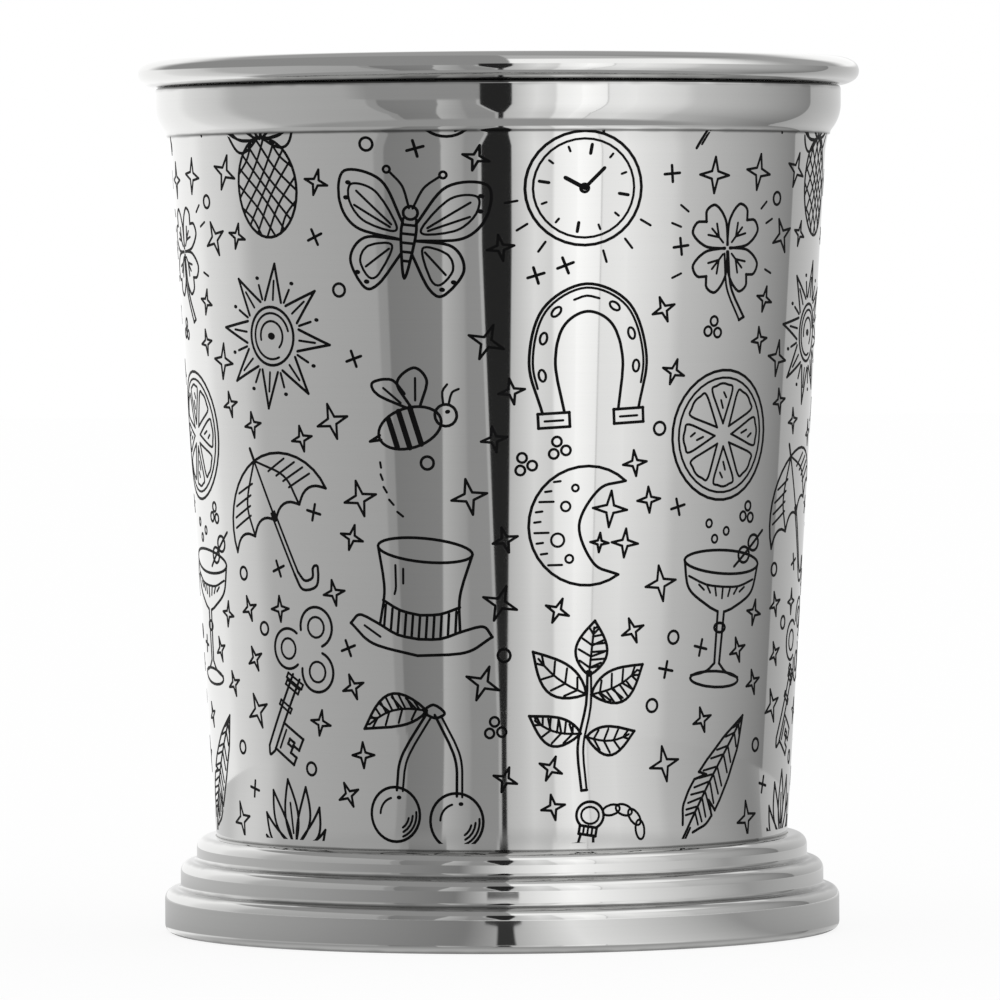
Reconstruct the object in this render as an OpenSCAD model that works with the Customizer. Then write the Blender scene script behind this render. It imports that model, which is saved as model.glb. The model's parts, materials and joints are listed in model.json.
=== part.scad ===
// Julep cup: a spun steel beaker with soldered mouldings at its lip and foot.
// Millimetres, +Z up, origin at the centre of the ring that it stands on.

/* [Overall] */
// Height from the standing face to the crown of the rim bead
overall_h = 104.3; // [90:0.1:120]
// Diameter over the rim bead
rim_d = 86.5; // [72:0.5:100]

/* [Beaker] */
// Sheet thickness of the wall and floor
wall_t = 0.8; // [0.5:0.1:1.2]
// How far the wall leans outward between the foot's top edge and the lip
wall_flare = 5.55; // [0:0.05:8]
// Depth of the wall's top edge below the crown of the rim bead
lip_drop = 0.25; // [0.1:0.05:0.6]
// Height of the floor's underside above the standing face
floor_lift = 4.2; // [3.4:0.1:5]
// Outside radius of the bend between floor and wall
floor_bend = 5; // [3:0.5:7]
// How far the wall is set outward below the collar band
joggle_out = 0.22; // [0.1:0.02:0.8]
// Radius of the slow bend at the foot of that set, at the middle of the sheet
joggle_bend = 14; // [4:0.5:24]
// Radius of the short bend at its head, at the middle of the sheet
joggle_return = 1; // [0.7:0.1:4]

/* [Rim bead] */
// Height of the bead
bead_h = 3.25; // [2.4:0.05:4]
// Width of the full oval that the bead is cut from
bead_w = 4.7; // [4.2:0.1:5.6]
// Radius at the oval's outer end
bead_nose = 1.3; // [0.8:0.05:1.6]
// How far the bead stands out from its solder on the wall
bead_out = 3.11; // [2.6:0.01:3.9]

/* [Collar band] */
// Height of the band, from its lower edge to the bead
band_h = 5.9; // [5:0.1:12]
// Thickness of the band under the bead
band_t = 1.1; // [0.7:0.01:1.4]
// Height of the band's straight upper part
band_straight = 2.25; // [1:0.05:3]
// Radius of the cove above the band's lower edge
band_cove = 1; // [0.6:0.1:3]
// Thickness of the band's lower edge
band_edge = 0.15; // [0.1:0.01:0.4]
// Rounding of the band's upper corner, which opens the groove under the bead
band_round = 0.5; // [0.1:0.05:0.8]

/* [Foot moulding] */
// Sheet thickness of the foot
foot_t = 0.8; // [0.5:0.1:1]
// Height of the lowest step
step_low_h = 5.3; // [4.4:0.1:8]
// Height of the middle step
step_mid_h = 3.3; // [2.6:0.1:6]
// Height of the top step
step_top_h = 2.9; // [2.4:0.1:6]
// How far the lowest step stands out from the middle one
step_low_w = 1.9; // [1.4:0.05:3]
// How far the middle step stands out from the top one
step_mid_w = 1.95; // [1.4:0.05:3]
// How far the top step stands out from its solder on the wall
step_top_w = 2.24; // [1.8:0.02:3]
// Rounding of the lowest step's upper edge
step_low_round = 1.35; // [1:0.05:2]
// Rounding of the middle step's upper edge
step_mid_round = 1.4; // [1:0.05:2]
// Rounding of the top step's upper edge
step_top_round = 1.4; // [1:0.05:1.6]
// Inside radius of each crease between two steps
crease_round = 0.5; // [0.1:0.05:0.8]
// Rounding of the bottom edge
foot_round = 1; // [1:0.1:2]
// Width of the flange that is turned in to stand on
flange_w = 4.2; // [3:0.1:6]
// Depth of the lip that is turned down against the wall
foot_lip = 2.6; // [1.5:0.1:3]

/* [Base plate] */
// Sheet thickness of the base plate
plate_t = 0.8; // [0.5:0.1:1]
// Clearance round the plate, filled with solder
plate_gap = 0.4; // [0.1:0.05:0.6]
// Distance of the raised panel's edge inward from the foot's seat on the wall
panel_inset = 10.4; // [9.5:0.1:16]
// Inside radius of the bends at both ends of the panel's rise
panel_bend = 1.2; // [0.6:0.1:1.5]
// Slope of the panel's rise
panel_angle = 40; // [30:1:60]

/* [Solder] */
// Thickness of the solder between two pieces
solder_t = 0.12; // [0.06:0.01:0.2]

/* [Hidden] */
$fn = 128;
arc_step = 7.5;

steel = [0.80, 0.81, 0.82];
moulding_steel = [0.70, 0.72, 0.74];
plate_steel = [0.62, 0.64, 0.66];
solder = [0.56, 0.56, 0.53];

foot_h = step_low_h + step_mid_h + step_top_h;
wall_top = overall_h - lip_drop;
bead_low = overall_h - bead_h;
band_low = bead_low - band_h;

// Outside radii of the wall at its top edge and at the foot's top edge, and its slope between them
lip_r = rim_d / 2 - bead_out - solder_t;
seat_r = lip_r - joggle_out - wall_flare;
taper = wall_flare / (wall_top - foot_h);
lean = atan(taper);
outward = [cos(lean), -sin(lean)];
upward = [sin(lean), cos(lean)];

// Outside radius of the wall at height z, below its outward set and above it
function body_r(z) = seat_r + taper * (z - foot_h);
function neck_r(z) = body_r(z) + joggle_out;

// The section of every piece is drawn in the plane of x = radius and y = height

// A flat stretch of section, left out where its neighbours leave it no room
module flat(corner, size) {
    if (size.x > 0 && size.y > 0) translate(corner) square(size);
}

// Points along an arc, both ends included
function arc(centre, r, from, to) =
    let (steps = ceil(abs(to - from) / arc_step))
    [for (i = [0 : steps])
        let (turn = from + (to - from) * i / steps)
        centre + r * [cos(turn), sin(turn)]];

// A bend of inside radius r in sheet of thickness t, between two angles round its centre
module bend(centre, r, t, from, to) {
    reach = 2 * (r + t);
    translate(centre)
    intersection() {
        difference() {
            circle(r + t);
            if (r > 0) circle(r);
        }
        polygon([[0, 0], reach * [cos(from), sin(from)],
            reach * [cos((from + to) / 2), sin((from + to) / 2)], reach * [cos(to), sin(to)]]);
    }
}

// A film along the wall, of thickness t, between two heights with their inside radii
module film(low_r, low, high_r, high, t) {
    polygon([[low_r, low], [low_r + t, low], [high_r + t, high], [high_r, high]]);
}

// All that lies inside the solder's outer face on the upper wall
module behind_solder(low, high) {
    polygon([[0, low], [neck_r(low) + solder_t, low], [neck_r(high) + solder_t, high], [0, high]]);
}

// Beaker: floor, corner bend, tapered wall, outward set and half-round top edge in one sheet
corner_z = floor_lift + floor_bend;
corner = [body_r(corner_z) - floor_bend / cos(lean), corner_z];
joggle_reach = joggle_bend + joggle_return;
joggle_turn = acos(1 - joggle_out * cos(lean) / joggle_reach);
joggle_head = [neck_r(band_low), band_low];
joggle_foot = joggle_head - joggle_out * cos(lean) * outward
    - joggle_reach * sin(joggle_turn) * upward;
lip_z = wall_top - wall_t / 2;
lip = [neck_r(lip_z) - wall_t / 2 / cos(lean), lip_z];

joggle_low = joggle_foot + joggle_bend * outward;
joggle_high = joggle_head - joggle_return * outward;

// One face of the sheet: its skin for a depth of 0, its inner face for a depth of wall_t
function beaker_face(depth) = concat(
    [[0, floor_lift + depth]],
    arc(corner, floor_bend - depth, -90, -lean),
    arc(joggle_low - wall_t / 2 * outward, joggle_bend - wall_t / 2 + depth,
        180 - lean, 180 - lean - joggle_turn),
    arc(joggle_high - wall_t / 2 * outward, joggle_return + wall_t / 2 - depth,
        -lean - joggle_turn, -lean));
function backwards(points) = [for (i = [len(points) - 1 : -1 : 0]) points[i]];

module cup_body() {
    color(steel)
    rotate_extrude()
    polygon(concat(
        beaker_face(0),
        arc(lip, wall_t / 2, -lean, 180 - lean),
        backwards(beaker_face(wall_t))));
}

// Rim bead: the outer part of an oval whose two crowns run tangent into its two noses
bead_mid = [rim_d / 2 - bead_w / 2, overall_h - bead_h / 2];
nose_r = min(bead_nose, bead_h / 2 - 0.1);
nose_out = bead_w / 2 - nose_r;
nose_sink = bead_h / 2 - nose_r;
crown_out = (nose_out * nose_out - nose_sink * nose_sink) / (2 * nose_sink);
crown_r = crown_out + bead_h / 2;
crown_turn = atan(nose_out / crown_out);

module bead_oval() {
    translate(bead_mid) {
        intersection() {
            translate([0, -crown_out]) circle(crown_r);
            translate([0, crown_out]) circle(crown_r);
            square([2 * crown_r * sin(crown_turn), bead_h], center = true);
        }
        translate([nose_out, 0]) circle(nose_r);
        translate([-nose_out, 0]) circle(nose_r);
    }
}

module rim_bead() {
    color(moulding_steel)
    rotate_extrude()
    difference() {
        bead_oval();
        behind_solder(bead_low, overall_h);
    }
}

// Collar band: a straight face that rolls in and runs out in a cove to a thin lower edge
band_r = neck_r(bead_low) + solder_t + band_t;
band_turn_in = band_r - neck_r(band_low) - solder_t - band_edge;
roll_z = bead_low - band_straight;
roll_h = roll_z - band_low;
roll_reach = (band_turn_in * band_turn_in + roll_h * roll_h) / (2 * band_turn_in);
roll_r = roll_reach - band_cove;
roll_mid = [band_r - roll_r, roll_z];
cove_mid = [band_r - band_turn_in + band_cove, band_low];
roll_end = roll_mid + (cove_mid - roll_mid) * roll_r / roll_reach;

module collar_band() {
    color(moulding_steel)
    rotate_extrude()
    difference() {
        union() {
            flat([0, roll_z], [band_r, band_straight - band_round]);
            flat([0, roll_z], [band_r - band_round, band_straight]);
            translate([band_r - band_round, bead_low - band_round]) circle(band_round);
            intersection() {
                translate(roll_mid) circle(roll_r);
                flat([0, band_low], [band_r, roll_h]);
            }
            difference() {
                flat([0, band_low], [roll_end.x, roll_h]);
                translate(cove_mid) circle(band_cove);
            }
        }
        behind_solder(band_low, bead_low);
    }
}

// Foot moulding: one spun sheet with three rounded steps, a standing flange and a lip on the wall
foot_seat_r = seat_r + solder_t;
step_r = [foot_seat_r + step_top_w, foot_seat_r + step_top_w + step_mid_w,
    foot_seat_r + step_top_w + step_mid_w + step_low_w];
step_z = [foot_h, step_low_h + step_mid_h, step_low_h, 0];
step_round = [step_top_round,
    min(step_mid_round, step_mid_w - crease_round),
    min(step_low_round, step_low_w - crease_round)];
lower_round = [crease_round, crease_round, foot_round];
flange_r = step_r[2] - flange_w;
foot_lip_z = foot_h - foot_lip;

module foot_moulding() {
    color(moulding_steel)
    rotate_extrude() {
        film(body_r(foot_lip_z) + solder_t, foot_lip_z, foot_seat_r, foot_h, foot_t);
        flat([foot_seat_r, foot_h - foot_t], [step_r[0] - step_round[0] - foot_seat_r, foot_t]);
        for (i = [0 : 2]) {
            // The rounded edge of the step, and its riser
            bend([step_r[i], step_z[i]] - step_round[i] * [1, 1],
                step_round[i] - foot_t, foot_t, 0, 90);
            flat([step_r[i] - foot_t, step_z[i + 1] + lower_round[i]],
                [foot_t, step_z[i] - step_round[i] - step_z[i + 1] - lower_round[i]]);
        }
        for (i = [0 : 1]) {
            // The crease below the step, and the tread of the next one
            bend([step_r[i], step_z[i + 1]] + crease_round * [1, 1],
                crease_round, foot_t, 180, 270);
            flat([step_r[i] + crease_round, step_z[i + 1] - foot_t],
                [step_r[i + 1] - step_round[i + 1] - step_r[i] - crease_round, foot_t]);
        }
        bend([step_r[2] - foot_round, foot_round], foot_round - foot_t, foot_t, 270, 360);
        flat([flange_r, 0], [flange_w - foot_round, foot_t]);
    }
}

// Base plate: a pressed disc whose rim lies on the foot's flange and whose panel meets the floor
plate_r = step_r[2] - foot_t - plate_gap;
panel_r = seat_r - panel_inset;
panel_low = floor_lift - plate_t;
bend_mid = panel_bend + plate_t / 2;
bend_rise = 2 * bend_mid * (1 - cos(panel_angle));
rise_run = 2 * bend_mid * sin(panel_angle) + (panel_low - foot_t - bend_rise) / tan(panel_angle);
upper_bend = [panel_r, panel_low - panel_bend];
lower_bend = [panel_r + rise_run, foot_t + plate_t + panel_bend];

// One face of the plate: the upper one for a depth of 0, the lower one for a depth of plate_t
function plate_face(depth) = concat(
    [[0, floor_lift - depth]],
    arc(upper_bend, panel_bend + plate_t - depth, 90, 90 - panel_angle),
    arc(lower_bend, panel_bend + depth, 270 - panel_angle, 270),
    [[plate_r, foot_t + plate_t - depth]]);

module base_plate() {
    color(plate_steel)
    rotate_extrude()
    polygon(concat(plate_face(0), backwards(plate_face(plate_t))));
}

// Solder: the films that hold the mouldings on the wall and the plate in the foot
film_head = lip_z - wall_t / 2 * sin(lean);

module rim_solder() {
    color(solder)
    rotate_extrude()
    film(neck_r(bead_low), bead_low, neck_r(film_head), film_head, solder_t);
}

module collar_solder() {
    color(solder)
    rotate_extrude()
    film(neck_r(band_low), band_low, neck_r(bead_low), bead_low, solder_t);
}

module foot_solder() {
    color(solder)
    rotate_extrude()
    film(body_r(foot_lip_z), foot_lip_z, body_r(foot_h), foot_h, solder_t);
}

module plate_solder() {
    color(solder)
    rotate_extrude()
    flat([plate_r, foot_t], [plate_gap, plate_t]);
}

cup_body();
rim_bead();
collar_band();
foot_moulding();
base_plate();
rim_solder();
collar_solder();
foot_solder();
plate_solder();
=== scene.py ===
"""Julep cup of spun steel with a line print round its wall, built round its CAD frame.

Metres, +Z up. Sections and drawings are written in millimetres, as complex numbers:
in a section the real part is the radius and the imaginary part the height,
in a drawing they are right and up.
"""

import cmath
import json
import math
import random

import bmesh
import bpy
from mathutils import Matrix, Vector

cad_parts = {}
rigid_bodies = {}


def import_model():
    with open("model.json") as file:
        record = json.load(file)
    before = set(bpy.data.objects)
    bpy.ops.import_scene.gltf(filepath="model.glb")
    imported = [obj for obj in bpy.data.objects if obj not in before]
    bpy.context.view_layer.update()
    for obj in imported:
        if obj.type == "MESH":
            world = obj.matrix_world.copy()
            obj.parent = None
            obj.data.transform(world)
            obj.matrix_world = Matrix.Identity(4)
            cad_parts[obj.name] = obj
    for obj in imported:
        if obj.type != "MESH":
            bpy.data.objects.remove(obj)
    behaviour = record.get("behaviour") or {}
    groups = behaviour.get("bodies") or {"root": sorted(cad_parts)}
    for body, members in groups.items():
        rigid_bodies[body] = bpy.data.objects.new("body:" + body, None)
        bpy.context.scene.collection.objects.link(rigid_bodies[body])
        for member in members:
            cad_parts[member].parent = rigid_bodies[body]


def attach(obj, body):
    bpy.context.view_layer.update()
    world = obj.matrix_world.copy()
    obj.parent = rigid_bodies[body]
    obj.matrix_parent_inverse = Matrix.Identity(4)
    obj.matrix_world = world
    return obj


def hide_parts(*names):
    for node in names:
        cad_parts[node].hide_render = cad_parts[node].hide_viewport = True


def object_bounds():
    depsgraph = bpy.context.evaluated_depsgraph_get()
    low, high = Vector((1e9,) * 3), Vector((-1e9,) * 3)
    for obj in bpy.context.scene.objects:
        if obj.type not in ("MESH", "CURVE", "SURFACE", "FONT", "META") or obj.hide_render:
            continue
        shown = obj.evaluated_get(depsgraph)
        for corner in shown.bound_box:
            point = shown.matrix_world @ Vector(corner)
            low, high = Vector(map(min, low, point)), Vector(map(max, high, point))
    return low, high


bl_info = {
    "name": "Julep Cup",
    "version": (1, 0, 0),
    "blender": (4, 5, 0),
    "location": "View3D > Sidebar > Julep Cup",
    "description": "Builds a spun steel julep cup with a line print round its CAD frame",
    "category": "Add Mesh",
}

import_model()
CAD_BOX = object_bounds()

MM = 0.001
BODY = "root"

# Section lines: radius of the circle that sections are swept along, degrees between points of an arc,
# and on each straight stretch past LONG, points at HOLD from its ends and at most SPAN apart
PATH_R = 30.0
ARC_STEP = 6.0
LONG, HOLD, SPAN = 0.8, 0.07, 6.0

# The lines of the CAD source that have no slider
LIP_DROP = 0.25
BEAD_OUT, BEAD_NOSE = 3.11, 1.3
FLOOR_LIFT, FLOOR_BEND = 4.2, 5.0
SET_BEND, SET_RETURN = 14.0, 1.0
COLLAR_STRAIGHT, COLLAR_COVE, COLLAR_EDGE, COLLAR_ROUND = 2.25, 1.0, 0.15, 0.5
FOOT_ROUNDS, FOOT_CREASE, FOOT_ROUND, FOOT_LIP = (1.4, 1.4, 1.35), 0.5, 1.0, 2.6
PLATE_GAP, PANEL_INSET, PANEL_BEND, PANEL_ANGLE = 0.4, 10.4, 1.2, 40.0

# Drawing: the pen's width, its lightest share, the sharpest corner that it turns without lifting, the longest chord
PEN = 0.38
LEAST = 0.82
CORNER = math.radians(42)
CHORD = 1.4

# Layout: radius at which the wall is unrolled, side of the squares that ink is sorted into, room kept between two
# small marks, from a mark to a motif's ink and to its middle, and how often a place is tried
REFERENCE_R = 36.5
SQUARE = 4
MARK_GAP, INK_GAP, MIDDLE_GAP = 0.75, 0.6, 5.2
TRIES = 2500


def rod(turn, reach=1.0):
    """A vector at an angle in degrees."""
    return cmath.rect(reach, math.radians(turn))


# ---------------------------------------------------------------- sizes


def length(name, description, default):
    """A length property, with its default in millimetres."""
    return bpy.props.FloatProperty(
        name=name,
        description=description,
        default=default * MM,
        min=0.0,
        precision=5,
        subtype="DISTANCE",
        unit="LENGTH",
    )


def share(name, description, default, top=1.0):
    """A plain number from nought to top."""
    return bpy.props.FloatProperty(
        name=name, description=description, default=default, min=0.0, max=top, precision=3
    )


def colour(name, description, default):
    """A colour property."""
    return bpy.props.FloatVectorProperty(
        name=name, description=description, default=default, size=3, min=0.0, max=1.0, subtype="COLOR"
    )


class JulepCupSizes(bpy.types.PropertyGroup):
    """Sizes of the spun, rolled and soldered pieces"""

    overall_h: length("Overall Height", "From the table to the crown of the rim bead", CAD_BOX[1].z / MM)
    rim_d: length("Rim Diameter", "Over the rim bead", round((CAD_BOX[1].x - CAD_BOX[0].x) / MM, 2))
    wall_t: length("Wall Thickness", "Sheet of the beaker's wall and floor", 0.8)
    wall_flare: length("Wall Flare", "How far the wall leans out between foot and lip", 5.55)
    joggle_out: length("Outward Set", "How far the wall is set out below the collar", 0.22)
    bead_h: length("Bead Height", "Height of the rim bead", 3.25)
    bead_w: length("Bead Width", "Width of the full oval of the rim bead", 4.7)
    band_h: length("Collar Height", "From the collar's lower edge to the bead", 5.9)
    band_t: length("Collar Thickness", "Of the collar band under the bead", 1.1)
    sheet_t: length("Foot Sheet", "Sheet of the foot moulding and the base plate", 0.8)
    step_low_h: length("Lowest Step Height", "Of the foot moulding", 5.3)
    step_mid_h: length("Middle Step Height", "Of the foot moulding", 3.3)
    step_top_h: length("Top Step Height", "Of the foot moulding", 2.9)
    step_low_w: length("Lowest Step Width", "How far it stands out from the middle step", 1.9)
    step_mid_w: length("Middle Step Width", "How far it stands out from the top step", 1.95)
    step_top_w: length("Top Step Width", "How far it stands out from the wall", 2.24)
    flange_w: length("Flange Width", "Of the flange that the cup stands on", 4.2)
    solder_t: length("Solder Thickness", "Between a moulding and the wall", 0.12)
    segments: bpy.props.IntProperty(
        name="Segments", description="Facets round each turned piece", default=400, min=64, max=720
    )


class JulepCupPrint(bpy.types.PropertyGroup):
    """The line print round the wall"""

    low: length("Lower Edge", "Height at which the print is cut off above the foot", 12.4)
    high: length("Upper Edge", "Height at which it ends, hidden under the collar", 95.4)
    line: length("Line Width", "Of the pen's full stroke", PEN)
    ink: length("Ink Thickness", "How far the ink stands on the steel", 0.03)
    motif: share("Motif Size", "Of each drawing on its place", 1.1, 2.0)
    repeats: bpy.props.IntProperty(
        name="Repeats", description="How often the layout repeats round the cup", default=3, min=1, max=6
    )
    seed: bpy.props.IntProperty(
        name="Seed", description="Of the small marks between the motifs", default=5, min=0
    )


class JulepCupFinish(bpy.types.PropertyGroup):
    """Colours and polish"""

    steel: colour("Polished Steel", "Mirror polished stainless steel", (0.78, 0.78, 0.77))
    satin: colour("Satin Steel", "Base plate under the foot", (0.62, 0.62, 0.60))
    solder: colour("Solder", "Line of solder at a moulding's edge", (0.52, 0.52, 0.49))
    ink: colour("Ink", "Black of the print", (0.0024, 0.0024, 0.0026))
    polish: share("Polish Roughness", "Roughness of the cleanest steel", 0.035)
    satin_rough: share("Satin Roughness", "Roughness of the base plate", 0.34)


class JulepCupStage(bpy.types.PropertyGroup):
    """Camera, floor and light"""

    lens: bpy.props.FloatProperty(
        name="Focal Length",
        description="Of a 36 mm sensor",
        default=312.5,
        min=10.0,
        subtype="DISTANCE_CAMERA",
        unit="CAMERA",
    )
    away: length("Camera Distance", "From the cup's axis", 1041.0)
    camera_h: length("Camera Height", "Above the table", 77.7)
    aim_h: length("Aim Height", "Height on the axis that the camera looks at", 51.5)
    aside: bpy.props.FloatProperty(
        name="Camera Offset",
        description="Sideways place of camera and aim",
        default=0.135 * MM,
        precision=5,
        subtype="DISTANCE",
        unit="LENGTH",
    )
    roll: bpy.props.FloatProperty(
        name="Camera Roll",
        description="Turn about the line of sight",
        default=math.radians(0.31),
        precision=4,
        subtype="ANGLE",
    )
    floor_r: length("Floor Radius", "Of the round table top", 4000.0)
    tent_r: length("Tent Radius", "Of the upright cards round the cup, which only polished metal shows", 155.0)
    tent_h: length("Tent Height", "From the table to the lid over the cards", 330.0)
    light: share("Card Strength", "Strength of the reflected cards", 1.0, 4.0)


# ---------------------------------------------------------------- node helpers

SHADER, GEOMETRY_TREE = "ShaderNodeTree", "GeometryNodeTree"
FLOAT, GEOMETRY, MATERIAL = "NodeSocketFloat", "NodeSocketGeometry", "NodeSocketMaterial"


class Wire:
    """What a node gives. The usual signs add Math nodes that work on it."""

    def __init__(self, nodes, socket):
        self.nodes, self.socket = nodes, socket

    def maths(self, operation, *others, clamp=False):
        return self.nodes.get("ShaderNodeMath", self, *others, operation=operation, use_clamp=clamp)

    def __add__(self, other):
        return self.maths("ADD", other)

    def __mul__(self, other):
        return self.maths("MULTIPLY", other)

    __radd__, __rmul__ = __add__, __mul__

    def __sub__(self, other):
        return self.maths("SUBTRACT", other)

    def __rsub__(self, other):
        return self.nodes.get("ShaderNodeMath", other, self, operation="SUBTRACT")

    def __truediv__(self, other):
        return self.maths("DIVIDE", other)

    def __rtruediv__(self, other):
        return self.nodes.get("ShaderNodeMath", other, self, operation="DIVIDE")

    def __neg__(self):
        return self * -1.0

    def __gt__(self, other):
        return self.maths("GREATER_THAN", other)

    def over(self, other):
        """The greater of the two."""
        return self.maths("MAXIMUM", other)

    def towards(self, other, amount):
        """This number, moved towards another by an amount from 0 to 1."""
        return (other - self) * amount + self


class Nodes:
    """Adds nodes to a tree."""

    def __init__(self, tree):
        self.tree = tree

    def feed(self, socket, value):
        """Links a wire to a socket, or sets the socket's own value. None leaves it alone."""
        if isinstance(value, Wire):
            self.tree.links.new(value.socket, socket)
        elif value is not None:
            socket.default_value = value

    def put(self, kind, *feeds, inputs=None, **settings):
        """Adds a node, with its settings, its first inputs in order and further inputs by name."""
        node = self.tree.nodes.new(kind)
        for name, value in settings.items():
            setattr(node, name, value)
        for key, value in [*enumerate(feeds), *(inputs or {}).items()]:
            self.feed(node.inputs[key], value)
        return node

    def get(self, kind, *feeds, out=0, **more):
        """Adds a node and gives one of its outputs."""
        return Wire(self, self.put(kind, *feeds, **more).outputs[out])

    def use(self, group, **feeds):
        """Adds a shader node group, with its inputs by name. Underscores stand for spaces."""
        node = self.tree.nodes.new("ShaderNodeGroup")
        node.node_tree = group()
        for name, value in feeds.items():
            self.feed(node.inputs[name.replace("_", " ")], value)
        return Wire(self, node.outputs[0])

    def place(self):
        return self.get("ShaderNodeTexCoord", out="Object")

    def xyz(self, vector):
        node = self.put("ShaderNodeSeparateXYZ", vector)
        return [Wire(self, node.outputs[i]) for i in range(3)]

    def vector(self, *parts):
        return self.get("ShaderNodeCombineXYZ", *parts)

    def grey(self, tone):
        return self.get("ShaderNodeCombineColor", tone, tone, tone)

    def noise(self, place, scale, detail=2.0, **more):
        return self.get("ShaderNodeTexNoise", place, inputs={"Scale": scale, "Detail": detail, **more}, out="Fac")

    def bump(self, height, strength, distance):
        return self.get("ShaderNodeBump", inputs={"Strength": strength, "Distance": distance, "Height": height})

    def ramp(self, value, low, high, to_low=0.0, to_high=1.0, smooth=True):
        """A value taken from one range to another, clamped."""
        kind = "SMOOTHSTEP" if smooth else "LINEAR"
        return self.get("ShaderNodeMapRange", value, low, high, to_low, to_high, interpolation_type=kind)

    def mixed(self, amount, a, b):
        """A colour mixed from two, each a wire or three numbers."""
        node = self.tree.nodes.new("ShaderNodeMix")
        node.data_type = "RGBA"
        for key, value in ((0, amount), (6, a), (7, b)):
            self.feed(node.inputs[key], (*value, 1.0) if isinstance(value, tuple) else value)
        return Wire(self, node.outputs[2])

    def joined(self, amount, a, b):
        """A shader mixed from two."""
        return self.get("ShaderNodeMixShader", amount, a, b)

    def glow(self, tone, strength=1.0):
        """Light of its own in a grey tone."""
        return self.get("ShaderNodeEmission", inputs={"Color": self.grey(tone), "Strength": strength})

    def finished(self, geometry, material):
        """Real geometry with its material."""
        real = self.get("GeometryNodeRealizeInstances", geometry)
        return self.get("GeometryNodeSetMaterial", real, inputs={"Material": material})


def node_group(name, kind, output, **inputs):
    """Makes a builder into a function that gives its node group, which is built once.

    An input is given by its default number or its kind of socket. Underscores in its name stand for spaces.
    """

    def add(tree, label, side, socket_kind):
        return tree.interface.new_socket(name=label.replace("_", " "), in_out=side, socket_type=socket_kind)

    def wrap(build):
        def group():
            if name in bpy.data.node_groups:
                return bpy.data.node_groups[name]
            tree = bpy.data.node_groups.new(name, kind)
            for label, default in inputs.items():
                if isinstance(default, str):
                    add(tree, label, "INPUT", default)
                else:
                    number = "NodeSocketInt" if isinstance(default, int) else FLOAT
                    add(tree, label, "INPUT", number).default_value = default
            add(tree, output, "OUTPUT", GEOMETRY if kind == GEOMETRY_TREE else FLOAT)
            nodes = Nodes(tree)
            given = tree.nodes.new("NodeGroupInput").outputs[:len(inputs)]
            result = build(nodes, *[Wire(nodes, socket) for socket in given])
            nodes.feed(tree.nodes.new("NodeGroupOutput").inputs[0], result)
            return tree

        return group

    return wrap


# ---------------------------------------------------------------- sections


class Form:
    """The cup's derived lines in millimetres, found from the sizes as the CAD source finds them."""

    def __init__(self, sizes):
        def mm(name):
            return getattr(sizes, name) / MM

        self.overall_h, self.bead_h, self.bead_w = mm("overall_h"), mm("bead_h"), mm("bead_w")
        self.wall_t, self.sheet_t, self.solder_t = mm("wall_t"), mm("sheet_t"), mm("solder_t")
        self.wall_top = self.overall_h - LIP_DROP
        self.bead_low = self.overall_h - self.bead_h
        self.band_low = self.bead_low - mm("band_h")
        self.step_h = [mm("step_low_h"), mm("step_mid_h"), mm("step_top_h")]
        self.foot_h = sum(self.step_h)
        self.joggle_out, self.band_t = mm("joggle_out"), mm("band_t")
        self.rim_r = mm("rim_d") / 2
        lip_r = self.rim_r - BEAD_OUT - self.solder_t
        self.seat_r = lip_r - self.joggle_out - mm("wall_flare")
        self.taper = mm("wall_flare") / (self.wall_top - self.foot_h)
        self.lean = math.degrees(math.atan(self.taper))
        self.outward, self.upward = rod(-self.lean), rod(90 - self.lean)
        self.foot_seat_r = self.seat_r + self.solder_t
        top = self.foot_seat_r + mm("step_top_w")
        mid = top + mm("step_mid_w")
        self.step_r = [top, mid, mid + mm("step_low_w")]
        self.flange_r = self.step_r[2] - mm("flange_w")
        # The slow bend and the short one that set the wall outward below the collar
        self.joggle_bend, self.joggle_return = SET_BEND, SET_RETURN
        across = self.joggle_out * math.cos(math.radians(self.lean))
        both = self.joggle_bend + self.joggle_return
        self.joggle_turn = math.degrees(math.acos(1 - across / both))
        head = complex(self.neck_r(self.band_low), self.band_low)
        rise = both * math.sin(math.radians(self.joggle_turn))
        foot = head - across * self.outward - rise * self.upward
        self.joggle_low = foot + self.joggle_bend * self.outward
        self.joggle_high = head - self.joggle_return * self.outward
        self.joggle_foot_z = foot.imag

    def body_r(self, z):
        """Outside radius of the wall, below its outward set."""
        return self.seat_r + self.taper * (z - self.foot_h)

    def neck_r(self, z):
        """Outside radius of the wall above its outward set."""
        return self.body_r(z) + self.joggle_out


def arc(centre, radius, start, end, step=ARC_STEP):
    """Points along an arc, both ends included."""
    steps = max(2, math.ceil(abs(end - start) / step))
    return [centre + rod(start + (end - start) * i / steps, radius) for i in range(steps + 1)]


def held(points, closed):
    """The section with points close to both ends of each long straight stretch, so that it shades flat."""
    made = []
    nexts = points[1:] + points[:1] if closed else points[1:]
    for a, b in zip(points, nexts):
        made.append(a)
        reach = abs(b - a)
        if reach > LONG:
            way = (b - a) / reach
            cuts = max(1, math.ceil((reach - 2 * HOLD) / SPAN))
            made += [a + way * (HOLD + (reach - 2 * HOLD) * i / cuts) for i in range(cuts + 1)]
    return made if closed else made + points[-1:]


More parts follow.
